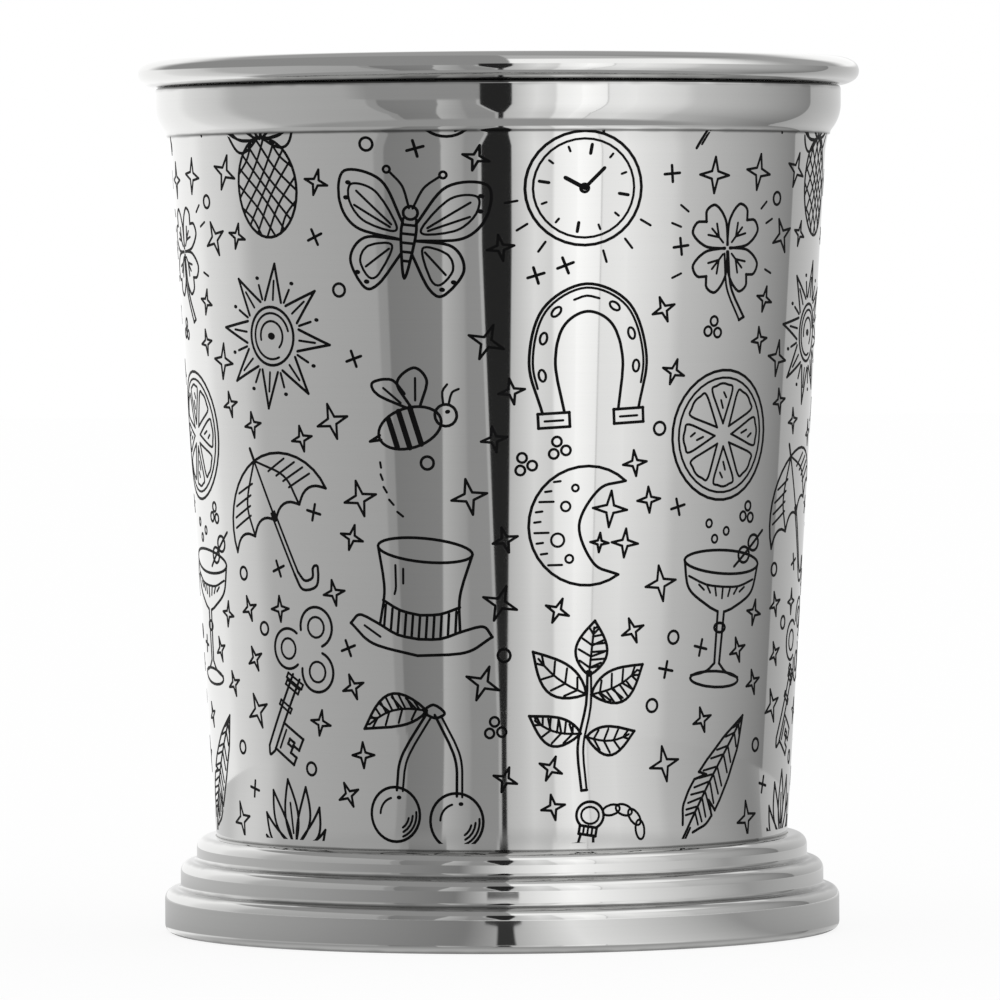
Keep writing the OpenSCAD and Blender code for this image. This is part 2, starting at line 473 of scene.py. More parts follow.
def beaker_section(f):
    """Floor, corner bend, tapered wall, outward set and half-round lip of one sheet, from axis to axis."""
    bend = FLOOR_BEND
    corner_z = FLOOR_LIFT + bend
    cosine = math.cos(math.radians(f.lean))
    corner = complex(f.body_r(corner_z) - bend / cosine, corner_z)
    half = f.wall_t / 2

    def face(depth):
        lean, turn = f.lean, f.joggle_turn
        return (
            [complex(0, FLOOR_LIFT + depth)]
            + arc(corner, bend - depth, -90, -lean)
            + arc(f.joggle_low - half * f.outward, f.joggle_bend - half + depth, 180 - lean, 180 - lean - turn, 1.2)
            + arc(f.joggle_high - half * f.outward, f.joggle_return + half - depth, -lean - turn, -lean, 2.5)
        )

    lip_z = f.wall_top - half
    lip = complex(f.neck_r(lip_z) - half / cosine, lip_z)
    return face(0) + arc(lip, half, -f.lean, 180 - f.lean, 15) + face(f.wall_t)[::-1]


def bead_section(f):
    """Oval of the rim bead: two crowns that run into a nose, cut off at the solder on the wall."""
    nose = min(BEAD_NOSE, f.bead_h / 2 - 0.1)
    middle = complex(f.rim_r - f.bead_w / 2, f.overall_h - f.bead_h / 2)
    nose_out, nose_sink = f.bead_w / 2 - nose, f.bead_h / 2 - nose
    crown_out = (nose_out**2 - nose_sink**2) / (2 * nose_sink)
    crown_r = crown_out + f.bead_h / 2
    turn = math.degrees(math.atan(nose_out / crown_out))

    def crown(side, start, end):
        line = arc(middle - side * 1j * crown_out, crown_r, start, end, 4)
        return [p for p in line if p.real > f.neck_r(p.imag) + f.solder_t + 0.01]

    def meeting(side):
        # Where the crown meets the solder's outer face, found by halving
        low, high = 90.0, 90.0 + turn
        centre = middle - side * 1j * crown_out
        for _ in range(40):
            angle = (low + high) / 2
            p = centre + rod(angle * side, crown_r)
            if p.real > f.neck_r(p.imag) + f.solder_t:
                low = angle
            else:
                high = angle
        return centre + rod(low * side, crown_r)

    upper = crown(1, 90 - turn, 90 + turn)
    lower = crown(-1, -90 - turn, -90 + turn)
    nose_arc = arc(middle + nose_out, nose, -90 + turn, 90 - turn)
    return [meeting(-1)] + lower + nose_arc[1:-1] + upper + [meeting(1)]


def collar_section(f):
    """Straight face, roll inward and cove of the collar band, closed along the solder on the wall."""
    cove, rounding = COLLAR_COVE, COLLAR_ROUND
    band_r = f.neck_r(f.bead_low) + f.solder_t + f.band_t
    turn_in = band_r - f.neck_r(f.band_low) - f.solder_t - COLLAR_EDGE
    roll_z = f.bead_low - COLLAR_STRAIGHT
    roll_h = roll_z - f.band_low
    reach = (turn_in**2 + roll_h**2) / (2 * turn_in)
    roll_r = reach - cove
    roll_mid = complex(band_r - roll_r, roll_z)
    cove_mid = complex(band_r - turn_in + cove, f.band_low)
    turn = math.degrees(cmath.phase(cove_mid - roll_mid))
    return (
        [complex(f.neck_r(f.band_low) + f.solder_t, f.band_low)]
        + arc(cove_mid, cove, 180, 180 + turn, 4)[:-1]
        + arc(roll_mid, roll_r, turn, 0, 4)
        + arc(complex(band_r, f.bead_low) - rounding * (1 + 1j), rounding, 0, 90, 15)
        + [complex(f.neck_r(f.bead_low) + f.solder_t, f.bead_low)]
    )


def foot_section(f):
    """The foot's one sheet: lip on the wall, three rounded steps and the flange that it stands on."""
    t, crease = f.sheet_t, FOOT_CREASE
    levels = [f.foot_h, f.step_h[0] + f.step_h[1], f.step_h[0]]
    lip_z = f.foot_h - FOOT_LIP

    def face(depth, step):
        line = []
        for i, (r, z, rounding) in enumerate(zip(f.step_r, levels, FOOT_ROUNDS)):
            line += arc(complex(r, z) - rounding * (1 + 1j), rounding - depth, 90, 0, step)
            if i < 2:
                line += arc(complex(r, levels[i + 1]) + crease * (1 + 1j), crease + depth, 180, 270, step)
        line += arc(complex(f.step_r[2] - FOOT_ROUND, FOOT_ROUND), FOOT_ROUND - depth, 0, -90, step)
        return line + [complex(f.flange_r, depth)]

    return (
        [complex(f.body_r(lip_z) + f.solder_t, lip_z), complex(f.foot_seat_r, f.foot_h)]
        + face(0, ARC_STEP)
        + face(t, 15)[::-1]
        + [complex(f.foot_seat_r + t, f.foot_h - t), complex(f.body_r(lip_z) + f.solder_t + t, lip_z)]
    )


def plate_section(f):
    """Pressed base plate with its raised panel, from axis to axis."""
    t, bend, angle = f.sheet_t, PANEL_BEND, PANEL_ANGLE
    rad = math.radians(angle)
    plate_r = f.step_r[2] - t - PLATE_GAP
    panel_r = f.seat_r - PANEL_INSET
    panel_low = FLOOR_LIFT - t
    bend_mid = bend + t / 2
    rise = 2 * bend_mid * (1 - math.cos(rad))
    run = 2 * bend_mid * math.sin(rad) + (panel_low - t - rise) / math.tan(rad)
    upper = complex(panel_r, panel_low - bend)
    lower = complex(panel_r + run, 2 * t + bend)

    def face(depth):
        return (
            [complex(0, FLOOR_LIFT - depth)]
            + arc(upper, bend + t - depth, 90, 90 - angle)
            + arc(lower, bend + depth, 270 - angle, 270)
            + [complex(plate_r, 2 * t - depth)]
        )

    return face(0) + face(t)[::-1]


def film_section(f, radius, low, high):
    """Film of solder along the wall between two heights."""
    return [
        complex(radius(low), low),
        complex(radius(low) + f.solder_t, low),
        complex(radius(high) + f.solder_t, high),
        complex(radius(high), high),
    ]


# ---------------------------------------------------------------- turned pieces


@node_group(
    "Turned Form", GEOMETRY_TREE, "Piece", Section=GEOMETRY, Path_Radius=PATH_R * MM, Segments=400,
    Weld_Distance=1e-7, Material=MATERIAL,
)
def turned_form(nodes, section, path_r, segments, weld, material):
    """Sweeps a flat section round the cup's axis and closes it at the poles."""
    profile = nodes.get("GeometryNodeMeshToCurve", section)
    circle = nodes.get("GeometryNodeCurvePrimitiveCircle", inputs={"Resolution": segments, "Radius": path_r})
    path = nodes.get("GeometryNodeSetCurveNormal", circle, mode="Z_UP")
    swept = nodes.get("GeometryNodeCurveToMesh", path, inputs={"Profile Curve": profile, "Fill Caps": False})
    return nodes.finished(nodes.get("GeometryNodeMergeByDistance", swept, inputs={"Distance": weld}), material)


def modifier_input(modifier, name, value):
    """Sets a Geometry Nodes input by the identifier of its socket."""
    for item in modifier.node_group.interface.items_tree:
        if item.item_type == "SOCKET" and item.in_out == "INPUT" and item.name == name:
            modifier[item.identifier] = value
            return
    raise RuntimeError(f"the tree {modifier.node_group.name} has no input named {name}")


def wire_mesh(name, lines):
    """A mesh of bare edges. Each line is (points, closed, widths), and a width is kept on each point."""
    verts, edges, widths = [], [], []
    for points, closed, weights in lines:
        first = len(verts)
        verts += [(p.real, p.imag, 0.0) for p in points]
        edges += [(first + i, first + i + 1) for i in range(len(points) - 1)]
        if closed:
            edges.append((len(verts) - 1, first))
        widths += weights
    mesh = bpy.data.meshes.new(name)
    mesh.from_pydata(verts, edges, [])
    if widths:
        mesh.attributes.new("width", "FLOAT", "POINT").data.foreach_set("value", widths)
    return mesh


def hosted(name, mesh, tree, inputs):
    """An object at the origin with a Geometry Nodes modifier whose inputs are set."""
    host = bpy.data.objects.new(name, mesh)
    bpy.context.scene.collection.objects.link(host)
    modifier = host.modifiers.new(tree.name, "NODES")
    modifier.node_group = tree
    for key, value in inputs.items():
        modifier_input(modifier, key, value)
    return host


def made_plain(host):
    """Puts the evaluated result on the host as a plain mesh and removes the modifier."""
    bpy.context.view_layer.update()
    depsgraph = bpy.context.evaluated_depsgraph_get()
    mesh = bpy.data.meshes.new_from_object(
        host.evaluated_get(depsgraph), preserve_all_data_layers=True, depsgraph=depsgraph
    )
    if not mesh.polygons:
        raise RuntimeError(f"{host.name} came out empty")
    wires = host.data
    host.modifiers.clear()
    mesh.name = host.name
    host.data = mesh
    bpy.data.meshes.remove(wires)


def face_outwards(mesh, trim=None):
    """Turns every closed surface outwards; trim may first cut the mesh."""
    work = bmesh.new()
    work.from_mesh(mesh)
    if trim:
        trim(work)
    bmesh.ops.recalc_face_normals(work, faces=work.faces)
    work.to_mesh(mesh)
    work.free()


def turned(name, node, section, closed, material):
    """Makes a piece of revolution that stands for a CAD node."""
    sizes = bpy.context.scene.julep_cup_sizes
    points = [((p - PATH_R).conjugate()) * MM for p in held(section, closed)]
    host = hosted(
        name,
        wire_mesh(name, [(points, closed, [])]),
        turned_form(),
        {"Segments": sizes.segments, "Path Radius": PATH_R * MM, "Material": material},
    )
    made_plain(host)
    face_outwards(host.data)
    host.data.shade_smooth()
    host.data.set_sharp_from_angle(angle=math.radians(32))
    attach(host, BODY)
    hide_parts(node)


# ---------------------------------------------------------------- finishes


@node_group("Turning Lines", SHADER, "Mask", Pitch=0.0002, Streak_Length=0.03, Sharpness=0.3)
def turning_lines(nodes, pitch, streak, sharpness):
    """Mask of the fine lines that a polishing wheel leaves as the cup turns."""
    x, y, z = nodes.xyz(nodes.place())
    across = ((x * x + y * y).maths("SQRT") + z) / pitch
    grain = nodes.noise(nodes.vector(x / streak, y / streak, across), 1.0, Roughness=0.6)
    return nodes.ramp(grain, 0.5 - sharpness, 0.5 + sharpness)


@node_group("Hairline Scratches", SHADER, "Mask", Spacing=0.004, Width=0.02, Coverage=0.4)
def hairline_scratches(nodes, spacing, width, coverage):
    """Mask of sparse, thin scratches that run every way."""
    marks = []
    for turn, shift in (((0.3, 0.9, 0.2), 0.0), ((1.1, 0.2, 2.0), 3.7)):
        place = nodes.get("ShaderNodeMapping", nodes.place(), inputs={"Rotation": turn, "Location": (shift,) * 3})
        stretch = nodes.vector(1.0 / spacing, 0.9 / spacing, 0.12 / spacing)
        place = nodes.get("ShaderNodeVectorMath", place, stretch, operation="MULTIPLY")
        cells = nodes.get(
            "ShaderNodeTexVoronoi", place, inputs={"Scale": 1.0}, feature="DISTANCE_TO_EDGE", out="Distance"
        )
        kept = nodes.ramp(nodes.noise(place, 0.37, 1.0), 1.0 - coverage, 1.1 - coverage)
        marks.append(nodes.ramp(cells, 0.0, width, 1.0, 0.0) * kept)
    return marks[0].over(marks[1])


@node_group("Handling Haze", SHADER, "Mask", Size=0.02, Amount=0.5)
def handling_haze(nodes, size, amount):
    """Soft clouds where a cloth or a hand has dulled the polish."""
    clouds = nodes.noise(nodes.place(), 1.0 / size, 4.0, Roughness=0.55, Distortion=0.4)
    return nodes.ramp(clouds, 0.42, 0.72) * amount


@node_group("Seam Shade", SHADER, "Mask", Height=0.0, Reach=0.0004)
def seam_shade(nodes, height, reach):
    """Mask of a soft dark ring at one height: painted shade in a crease or joint."""
    place = nodes.place()
    off = (nodes.xyz(place)[2] - height).maths("ABSOLUTE")
    reach = reach * (nodes.noise(place, 260.0) + 0.5)
    return nodes.ramp(off / reach, 0.0, 1.0, 1.0, 0.0)


def new_material(name):
    """An empty node material, its nodes, and a function that feeds its Principled BSDF."""
    material = bpy.data.materials.new(name)
    material.use_nodes = True
    nodes = Nodes(material.node_tree)
    shader = next(n for n in material.node_tree.nodes if n.type == "BSDF_PRINCIPLED")

    def fill(values):
        for key, value in values.items():
            nodes.feed(shader.inputs[key], value)

    return material, nodes, fill


def scaled(colour_here, by):
    return tuple(c * by for c in colour_here)


def steel_material(
    name, base, dulled, rough, lines=0.03, haze=0.05, scratches=0.12, seams=(), relief=0.02, stain=0.1
):
    """Polished or satin steel: turning lines, hairlines, haze, and painted shade in its seams."""
    material, nodes, fill = new_material(name)
    turning = nodes.use(turning_lines, Pitch=0.00022, Streak_Length=0.05, Sharpness=0.28)
    hairlines = nodes.use(hairline_scratches, Spacing=0.011, Width=0.006, Coverage=0.42)
    clouds = nodes.use(handling_haze, Size=0.024, Amount=1.0)
    colour_here = nodes.mixed((clouds + turning) * stain, base, dulled)
    shade = None
    for height, reach, depth in seams:
        mask = nodes.use(seam_shade, Height=height * MM, Reach=reach * MM) * depth
        shade = mask if shade is None else shade.over(mask)
    if shade:
        # Painted shade: each seam's ring takes the colour down to 0.14 of the base, where a crease or joint falls dark
        colour_here = nodes.mixed(shade, colour_here, scaled(base, 0.14))
    # Steel seen in steel for the fourth time, as inside the cup, glows plain grey: a painted reflection, as the
    # renderer follows it no further
    depth = nodes.get("ShaderNodeLightPath", out="Glossy Depth")
    fill({
        "Base Color": colour_here,
        "Roughness": turning * lines + rough + clouds * haze + hairlines * scratches,
        "Metallic": 1.0,
        "Emission Color": nodes.grey((depth > 3.5) * 0.3),
        "Emission Strength": 1.0,
        "Normal": nodes.bump(turning * 0.4 - hairlines, relief, 0.00002),
    })
    return material


def polished_steel(piece, seams):
    """Mirror steel with the sidebar's colour."""
    finish = bpy.context.scene.julep_cup_finish
    base = tuple(finish.steel)
    return steel_material(
        f"Polished Steel {piece}",
        base,
        scaled(base, 0.62),
        finish.polish,
        lines=0.006,
        haze=0.02,
        scratches=0.03,
        seams=seams,
        relief=0.003,
        stain=0.04,
    )


def solder_material():
    """Dull solder with small ripples."""
    material, nodes, fill = new_material("Solder")
    ripple = nodes.noise(nodes.place(), 900.0, 3.0)
    clouds = nodes.use(handling_haze, Size=0.01, Amount=1.0)
    base = tuple(bpy.context.scene.julep_cup_finish.solder)
    fill({
        "Base Color": nodes.mixed((clouds + ripple).maths("MULTIPLY", 0.45, clamp=True), base, scaled(base, 0.55)),
        "Roughness": nodes.ramp(ripple, 0.3, 0.7, 0.28, 0.5),
        "Metallic": 1.0,
        "Normal": nodes.bump(ripple, 0.3, 0.00004),
    })
    return material


def ink_material():
    """Baked black ink: smooth, a little uneven, thinner at hairline wear."""
    material, nodes, fill = new_material("Black Print")
    grain = nodes.noise(nodes.place(), 4200.0)
    clouds = nodes.use(handling_haze, Size=0.015, Amount=1.0)
    wear = nodes.use(hairline_scratches, Spacing=0.008, Width=0.008, Coverage=0.4)
    base = tuple(bpy.context.scene.julep_cup_finish.ink)
    fill({
        "Base Color": nodes.mixed((clouds * 0.5).maths("ADD", wear * 0.5, clamp=True), base, scaled(base, 2.6)),
        "Roughness": nodes.ramp(grain, 0.3, 0.7, 0.48, 0.58) + clouds * 0.06,
        "Specular IOR Level": 0.08,
        "Normal": nodes.bump(grain, 0.15, 0.00001),
    })
    return material


# ---------------------------------------------------------------- pen drawings


def smooth(points, closed=False, steps=8):
    """Points of a smooth line through the given ones."""
    count = len(points)
    made = []
    for i in range(count if closed else count - 1):
        b, c = points[i], points[(i + 1) % count]
        a = points[i - 1] if closed or i else 2 * b - c
        d = points[(i + 2) % count] if closed or i + 2 < count else 2 * c - b
        for k in range(steps):
            t = k / steps
            made.append(b + 0.5 * t * (c - a + t * (2 * a - 5 * b + 4 * c - d + t * (3 * (b - c) + d - a))))
    return made if closed else made + [points[-1]]


def fewer(points, slack=0.018):
    """The same line with only the points that its bends need."""
    if len(points) < 3:
        return points
    first, last = points[0], points[-1]
    along = last - first
    far, at = 0.0, 0
    for i, p in enumerate(points[1:-1], 1):
        off = abs(((p - first) * along.conjugate()).imag) / abs(along) if abs(along) > 1e-9 else abs(p - first)
        if off > far:
            far, at = off, i
    if far <= slack:
        return [first, last]
    return fewer(points[: at + 1], slack)[:-1] + fewer(points[at:], slack)


def divided(points):
    """The line with no chord longer than CHORD, so that it follows the wall."""
    made = []
    for a, b in zip(points, points[1:]):
        cuts = max(1, math.ceil(abs(b - a) / CHORD))
        made += [a + (b - a) * i / cuts for i in range(cuts)]
    return made + [points[-1]]


def bend_at(a, b, c):
    """How far a line turns at b."""
    if abs(b - a) < 1e-9 or abs(c - b) < 1e-9:
        return 0.0
    return abs(cmath.phase((c - b) / (b - a)))


def pen_strokes(points, closed, weight):
    """Lines of (points, closed, widths) for one stroke: it is parted at sharp corners, with round ends."""
    weight = max(weight, LEAST)
    if closed:
        loop = fewer(points + points[:1])[:-1]
        sharp = [i for i in range(len(loop)) if bend_at(loop[i - 1], loop[i], loop[(i + 1) % len(loop)]) > CORNER]
        if not sharp:
            even = divided(loop + loop[:1])[:-1]
            return [(even, True, [weight] * len(even))]
        loop = loop[sharp[0]:] + loop[: sharp[0]]
        points = loop + loop[:1]
    else:
        points = fewer(points)
    cuts = [0] + [i for i in range(1, len(points) - 1) if bend_at(*points[i - 1:i + 2]) > CORNER] + [len(points) - 1]
    lines = []
    half = weight * PEN / 2
    for a, b in zip(cuts, cuts[1:]):
        run = divided(points[a:b + 1])
        if abs(run[0] - run[-1]) < 1e-6 and len(run) == 2:
            continue
        head = (run[0] - run[1]) / abs(run[0] - run[1]) * half
        tail = (run[-1] - run[-2]) / abs(run[-1] - run[-2]) * half
        whole = [run[0] + head * 0.92, run[0] + head * 0.55] + run + [run[-1] + tail * 0.55, run[-1] + tail * 0.92]
        ends = [weight * 0.39, weight * 0.83]
        lines.append((whole, False, ends + [weight] * len(run) + ends[::-1]))
    return lines


class Drawing:
    """One motif's pen strokes in millimetres."""

    def __init__(self):
        self.strokes = []

    def line(self, *points, closed=False, weight=1.0):
        self.strokes.append(([complex(p) for p in points], closed, weight))

    def curve(self, *points, closed=False, weight=1.0):
        self.line(*smooth([complex(p) for p in points], closed), closed=closed, weight=weight)

    def oval(self, centre, rx, ry=None, start=0, end=360, turn=0, weight=1.0):
        """An ellipse, or part of one."""
        ry = ry or rx
        whole = abs(end - start) >= 360
        steps = max(8, int(abs(end - start) / 10))
        angles = [math.radians(start + (end - start) * i / steps) for i in range(steps + (not whole))]
        points = [centre + complex(rx * math.cos(a), ry * math.sin(a)) * rod(turn) for a in angles]
        self.line(*points, closed=whole, weight=weight)

    def dot(self, centre, radius):
        """A filled spot: a short thick stroke."""
        self.line(centre - radius * 0.15, centre + radius * 0.15, weight=2 * radius / PEN)

    def bars(self, count, start, end, weight=0.75):
        """Hatching: count lines whose two ends run along two straight guides, each (from, to)."""
        for i in range(count):
            t = (i + 0.5) / count
            self.line(start[0] + (end[0] - start[0]) * t, start[1] + (end[1] - start[1]) * t, weight=weight)

    def leaf(self, base, tip, width, bend=0.0, veins=0, shade=0.0):
        """A pointed leaf from base to tip, with a midrib and veins, and close hatching on one half."""
        base, tip = complex(base), complex(tip)
        along = tip - base
        side = along * 1j / abs(along)

        def rib(t):
            return base + along * t + side * bend * math.sin(math.pi * t)

        def edge(t, hand):
            return rib(t) + hand * side * width / 2 * math.sin(math.pi * t**0.85)

        for hand in (1, -1):
            self.line(*[edge(i / 12, hand) for i in range(13)])
        if veins:
            self.line(*[rib(i / 8) for i in range(8)], weight=0.75)
        for i in range(veins):
            t = (i + 0.7) / (veins + 0.9)
            for hand in (1, -1):
                self.line(rib(t), edge(min(t + 0.11, 0.97), hand) * 0.8 + rib(t + 0.1) * 0.2, weight=0.6)
        if shade:
            count = max(2, int(abs(along) / shade))
            for i in range(1, count):
                self.line(rib(i / count), edge(min(i / count + 0.05, 0.98), -1), weight=0.75)

    def mark(self):
        return len(self.strokes)

    def redraw(self, since, move, keep=False):
        """Draws the strokes since a mark again with their points moved, in their place or next to them."""
        moved = [([move(p) for p in points], closed, weight) for points, closed, weight in self.strokes[since:]]
        self.strokes[len(self.strokes) if keep else since:] = moved

    def mirror(self, since=0):
        """Repeats the strokes since a mark on the other side of the upright middle line."""
        self.redraw(since, lambda p: -p.conjugate(), keep=True)

    def place(self, since, offset=0, turn=0):
        """Turns and moves the strokes since a mark."""
        self.redraw(since, lambda p: p * rod(turn) + offset)

    def lines(self):
        """All the strokes as the pen draws them."""
        return [made for stroke in self.strokes for made in pen_strokes(*stroke)]


def draw_pineapple(d):
    middle, rx, ry = -2.9j, 4.1, 5.3
    d.oval(middle, rx, ry)
    for hand in (1, -1):
        way = rod(hand * 52)
        for k in range(-3, 4):
            # A chord of the oval, found in the space where the oval is round
            foot = k * 1.75
            p, q = complex(foot / rx, 0), complex(way.real / rx, way.imag / ry)
            b = (p * q.conjugate()).real
            root = b * b - abs(q) ** 2 * (abs(p) ** 2 - 1)
            if root <= 0:
                continue
            ends = [foot + way * (-b + sign * math.sqrt(root)) / abs(q) ** 2 for sign in (-1, 1)]
            bow = (ends[1] - ends[0]) * 1j / abs(ends[1] - ends[0]) * 0.35 * ((k > 0) - (k < 0)) * hand
            d.line(*[middle + v for v in smooth([ends[0], sum(ends) / 2 + bow, ends[1]], steps=5)], weight=0.75)
    d.leaf(2.3j, 9.3j, 2.1)
    d.line(3.6j, 6.8j, weight=0.7)
    since = d.mark()
    for base, tip, width, bend in (
        (0.35 + 2.3j, 2.7 + 8.3j, 1.8, -0.5),
        (0.7 + 2.3j, 4.4 + 6.0j, 1.6, -0.9),
        (0.7 + 2.1j, 4.9 + 3.6j, 1.4, -1.1),
    ):
        d.leaf(base, tip, width, bend)
    d.mirror(since)


def draw_orange_wheel(d):
    d.oval(0, 6.9)
    d.oval(0, 6.1, weight=0.7)
    for k in range(8):
        since = d.mark()
        d.line(
            *smooth(
                [1.25, rod(17.5, 4.93), rod(9.6, 5.35), 5.5, rod(-9.6, 5.35), rod(-17.5, 4.93), 1.25], steps=5
            ),
            weight=0.85,
        )
        if k % 2 == 0:
            d.line(2.9, 3.7 + 0.25j, weight=0.8)
            d.line(4.0 - 0.5j, 4.5 - 0.2j, weight=0.8)
        d.place(since, turn=45 * k + 10)


def draw_cherries(d):
    for centre, r in ((-3.5 - 4.1j, 2.9), (3.6 - 4.9j, 3.0)):
        d.oval(centre, r)
        d.oval(centre, r * 0.62, start=105, end=175, weight=0.8)
        d.dot(centre + complex(r * 0.18, r * 0.62), 0.25)
        for k in range(3):
            d.oval(centre, r * (0.86 - 0.15 * k), start=-70 + 6 * k, end=5 - 10 * k, weight=0.65)
    d.curve(-3.2 - 1.5j, -2.5 + 2j, 0.6 + 6.6j)
    d.curve(-2.5 - 1.6j, -1.8 + 1.8j, 1.0 + 6.1j, weight=0.7)
    d.curve(3.7 - 2.2j, 3.6 + 1.8j, 1.5 + 6.4j)
    d.curve(4.3 - 2.3j, 4.2 + 2.0j, 2.2 + 6.3j, weight=0.7)
    d.curve(0.3 + 6.8j, 1.4 + 7.5j, 2.6 + 6.6j, 1.5 + 6.1j, closed=True)
    d.leaf(0.6 + 6.9j, -6.8 + 5.0j, 3.5, -1.0, veins=4, shade=0.75)


def draw_mint_sprig(d):
    d.curve(0.6 - 8.6j, -0.3 - 4j, 0.2 + 0.5j, 4j)
    d.curve(1.2 - 8.5j, 0.35 - 4j, 0.75 + 0.3j, 0.4 + 4j, weight=0.75)
    d.line(0.6 - 8.6j, 1.2 - 8.5j)
    for base, tip, width, bend, shade in (
        (0.2 + 3.6j, 0.3 + 9.4j, 3.6, 0, 0.8),
        (0.1 + 1.6j, -6.2 + 5.6j, 3.6, 0.6, 0),
        (0.7 + 1.6j, 6.4 + 5.2j, 3.6, -0.6, 0.8),
        (-0.1 - 2.6j, -6.0 - 1.2j, 3.1, 0.7, 0.8),
        (0.6 - 2.9j, 6.2 - 1.9j, 3.1, -0.7, 0),
    ):
        d.leaf(base, tip, width, bend, veins=4, shade=shade)


def draw_horseshoe(d):
    outer = [-5.2 - 6.4j, -6.3 - 1j, -4.6 + 4.6j, 7.0j, 4.6 + 4.6j, 6.3 - 1j, 5.2 - 6.4j]
    inner = [-2.9 - 6.4j, -3.6 - 1.2j, -2.6 + 2.6j, 4.1j, 2.6 + 2.6j, 3.6 - 1.2j, 2.9 - 6.4j]
    d.curve(*outer)
    d.curve(*inner)
    d.line(*smooth([a * 0.86 + b * 0.14 for a, b in zip(outer, inner)])[4:-4], weight=0.6)
    since = d.mark()
    d.line(-5.7 - 6.4j, -2.4 - 6.4j, -2.4 - 7.9j, -5.7 - 7.9j, closed=True)
    d.line(-5.0 - 7.2j, -3.1 - 7.2j, weight=0.6)
    d.mirror(since)
    path = smooth([a * 0.55 + b * 0.45 for a, b in zip(outer, inner)], steps=12)
    for t in (0.13, 0.25, 0.37, 0.63, 0.75, 0.87):
        i = int(t * (len(path) - 1))
        d.oval(path[i], 0.62, 0.36, turn=math.degrees(cmath.phase(path[i + 1] - path[i - 1])), weight=0.85)
    d.curve(-1.3 + 5.4j, 5.75j, 1.3 + 5.4j, weight=0.8)


def draw_old_key(d):
    for k in range(3):
        since = d.mark()
        d.oval(0, 2.15, start=-38, end=218)
        d.oval(0, 1.1, weight=0.85)
        d.place(since, offset=rod(90 + 120 * k, 2.75), turn=120 * k)
    d.place(0, offset=5.2j)
    d.line(-0.55 + 1.7j, -0.55 - 7.2j)
    d.line(0.55 + 1.7j, 0.55 - 7.2j)
    d.curve(-0.55 - 7.2j, -8.0j, 0.55 - 7.2j)
    for y, half in ((1.5, 1.25), (0.75, 1.05), (-1.7, 0.95)):
        d.line(-half + y * 1j, half + y * 1j, half + (y - 0.55) * 1j, -half + (y - 0.55) * 1j, closed=True, weight=0.8)
    bit = (0.55 - 3.7j, 3.9 - 3.7j, 3.9 - 5.1j, 2.9 - 5.1j, 2.9 - 4.75j, 2.1 - 4.75j, 2.1 - 5.35j)
    d.line(*bit, 2.9 - 5.35j, 2.9 - 6.0j, 3.9 - 6.0j, 3.9 - 6.9j, 0.55 - 6.9j)
    d.line(1.2 - 4.2j, 1.2 - 6.4j, weight=0.7)
    d.place(0, turn=-38)


def draw_top_hat(d):
    since = d.mark()
    d.curve(-8.0 - 3.2j, -5.2 - 5.1j, -5.9j)
    d.curve(-8.0 - 3.2j, -6.9 - 2.2j, -4.5 - 3.0j)
    d.curve(-4.5 - 3.0j, -2.4 - 3.9j, -4.15j)
    d.curve(-4.5 - 3.0j, -4.2 + 0.8j, -5.2 + 5.3j)
    d.curve(-4.25 - 0.4j, -2.2 - 1.3j, -1.6j)
    d.mirror(since)
    d.oval(5.3j, 5.2, 1.25)
    for k in range(11):
        x = -4.0 + 0.8 * k
        low = -3.05 - 1.05 * (1 - (x / 4.4) ** 2)
        d.line(complex(x, low + 0.15), complex(x * 0.985, low + 2.35), weight=0.95)
    d.curve(-3.1 + 3.4j, -2.9 + 1.2j, -3.0 + 0.4j, weight=0.7)
    d.line(-2.2 + 3.1j, -2.1 + 1.6j, weight=0.7)
    d.curve(-6.3 - 3.3j, -4.4 - 4.3j, weight=0.6)


def draw_sun(d):
    d.oval(0, 3.1)
    d.oval(0, 2.45, start=20, end=300, weight=0.7)
    d.oval(0, 1.6, start=-40, end=200, weight=0.7)
    d.dot(0, 0.45)
    for k in range(8):
        since = d.mark()
        d.line(3.75 - 1.15j, 7.7, 3.75 + 1.15j)
        d.line(3.9, 5.9, weight=0.65)
        d.place(since, turn=45 * k)
        d.line(rod(45 * k + 22.5, 4.1), rod(45 * k + 22.5, 5.6), weight=0.9)
        d.dot(rod(45 * k + 22.5, 6.4), 0.24)


def draw_crescent(d):
    d.oval(0, 6.3, start=52, end=308)
    d.curve(rod(52, 6.3), 1.0 + 3.9j, -0.9, 1.0 - 3.9j, rod(-52, 6.3))
    for k in range(9):
        y = -4.4 + 1.1 * k
        x = -math.sqrt(6.3**2 - y * y)
        d.line(complex(x + 0.6, y), complex(x + 1.5 + 0.55 * math.cos(k * 2.1), y + 0.12), weight=0.7)
    for centre, r in ((-2.5 + 1.9j, 0.5), (-3.1 - 1.7j, 0.7), (-1.7 - 3.6j, 0.42), (-1.6 + 3.9j, 0.35)):
        d.oval(centre, r, weight=0.75)
    for centre, reach in ((2.4 + 1.9j, 1.9), (4.4 - 1.6j, 1.5), (1.5 - 1.7j, 1.0)):
        since = d.mark()
        draw_spark(d, reach)
        d.place(since, offset=centre)


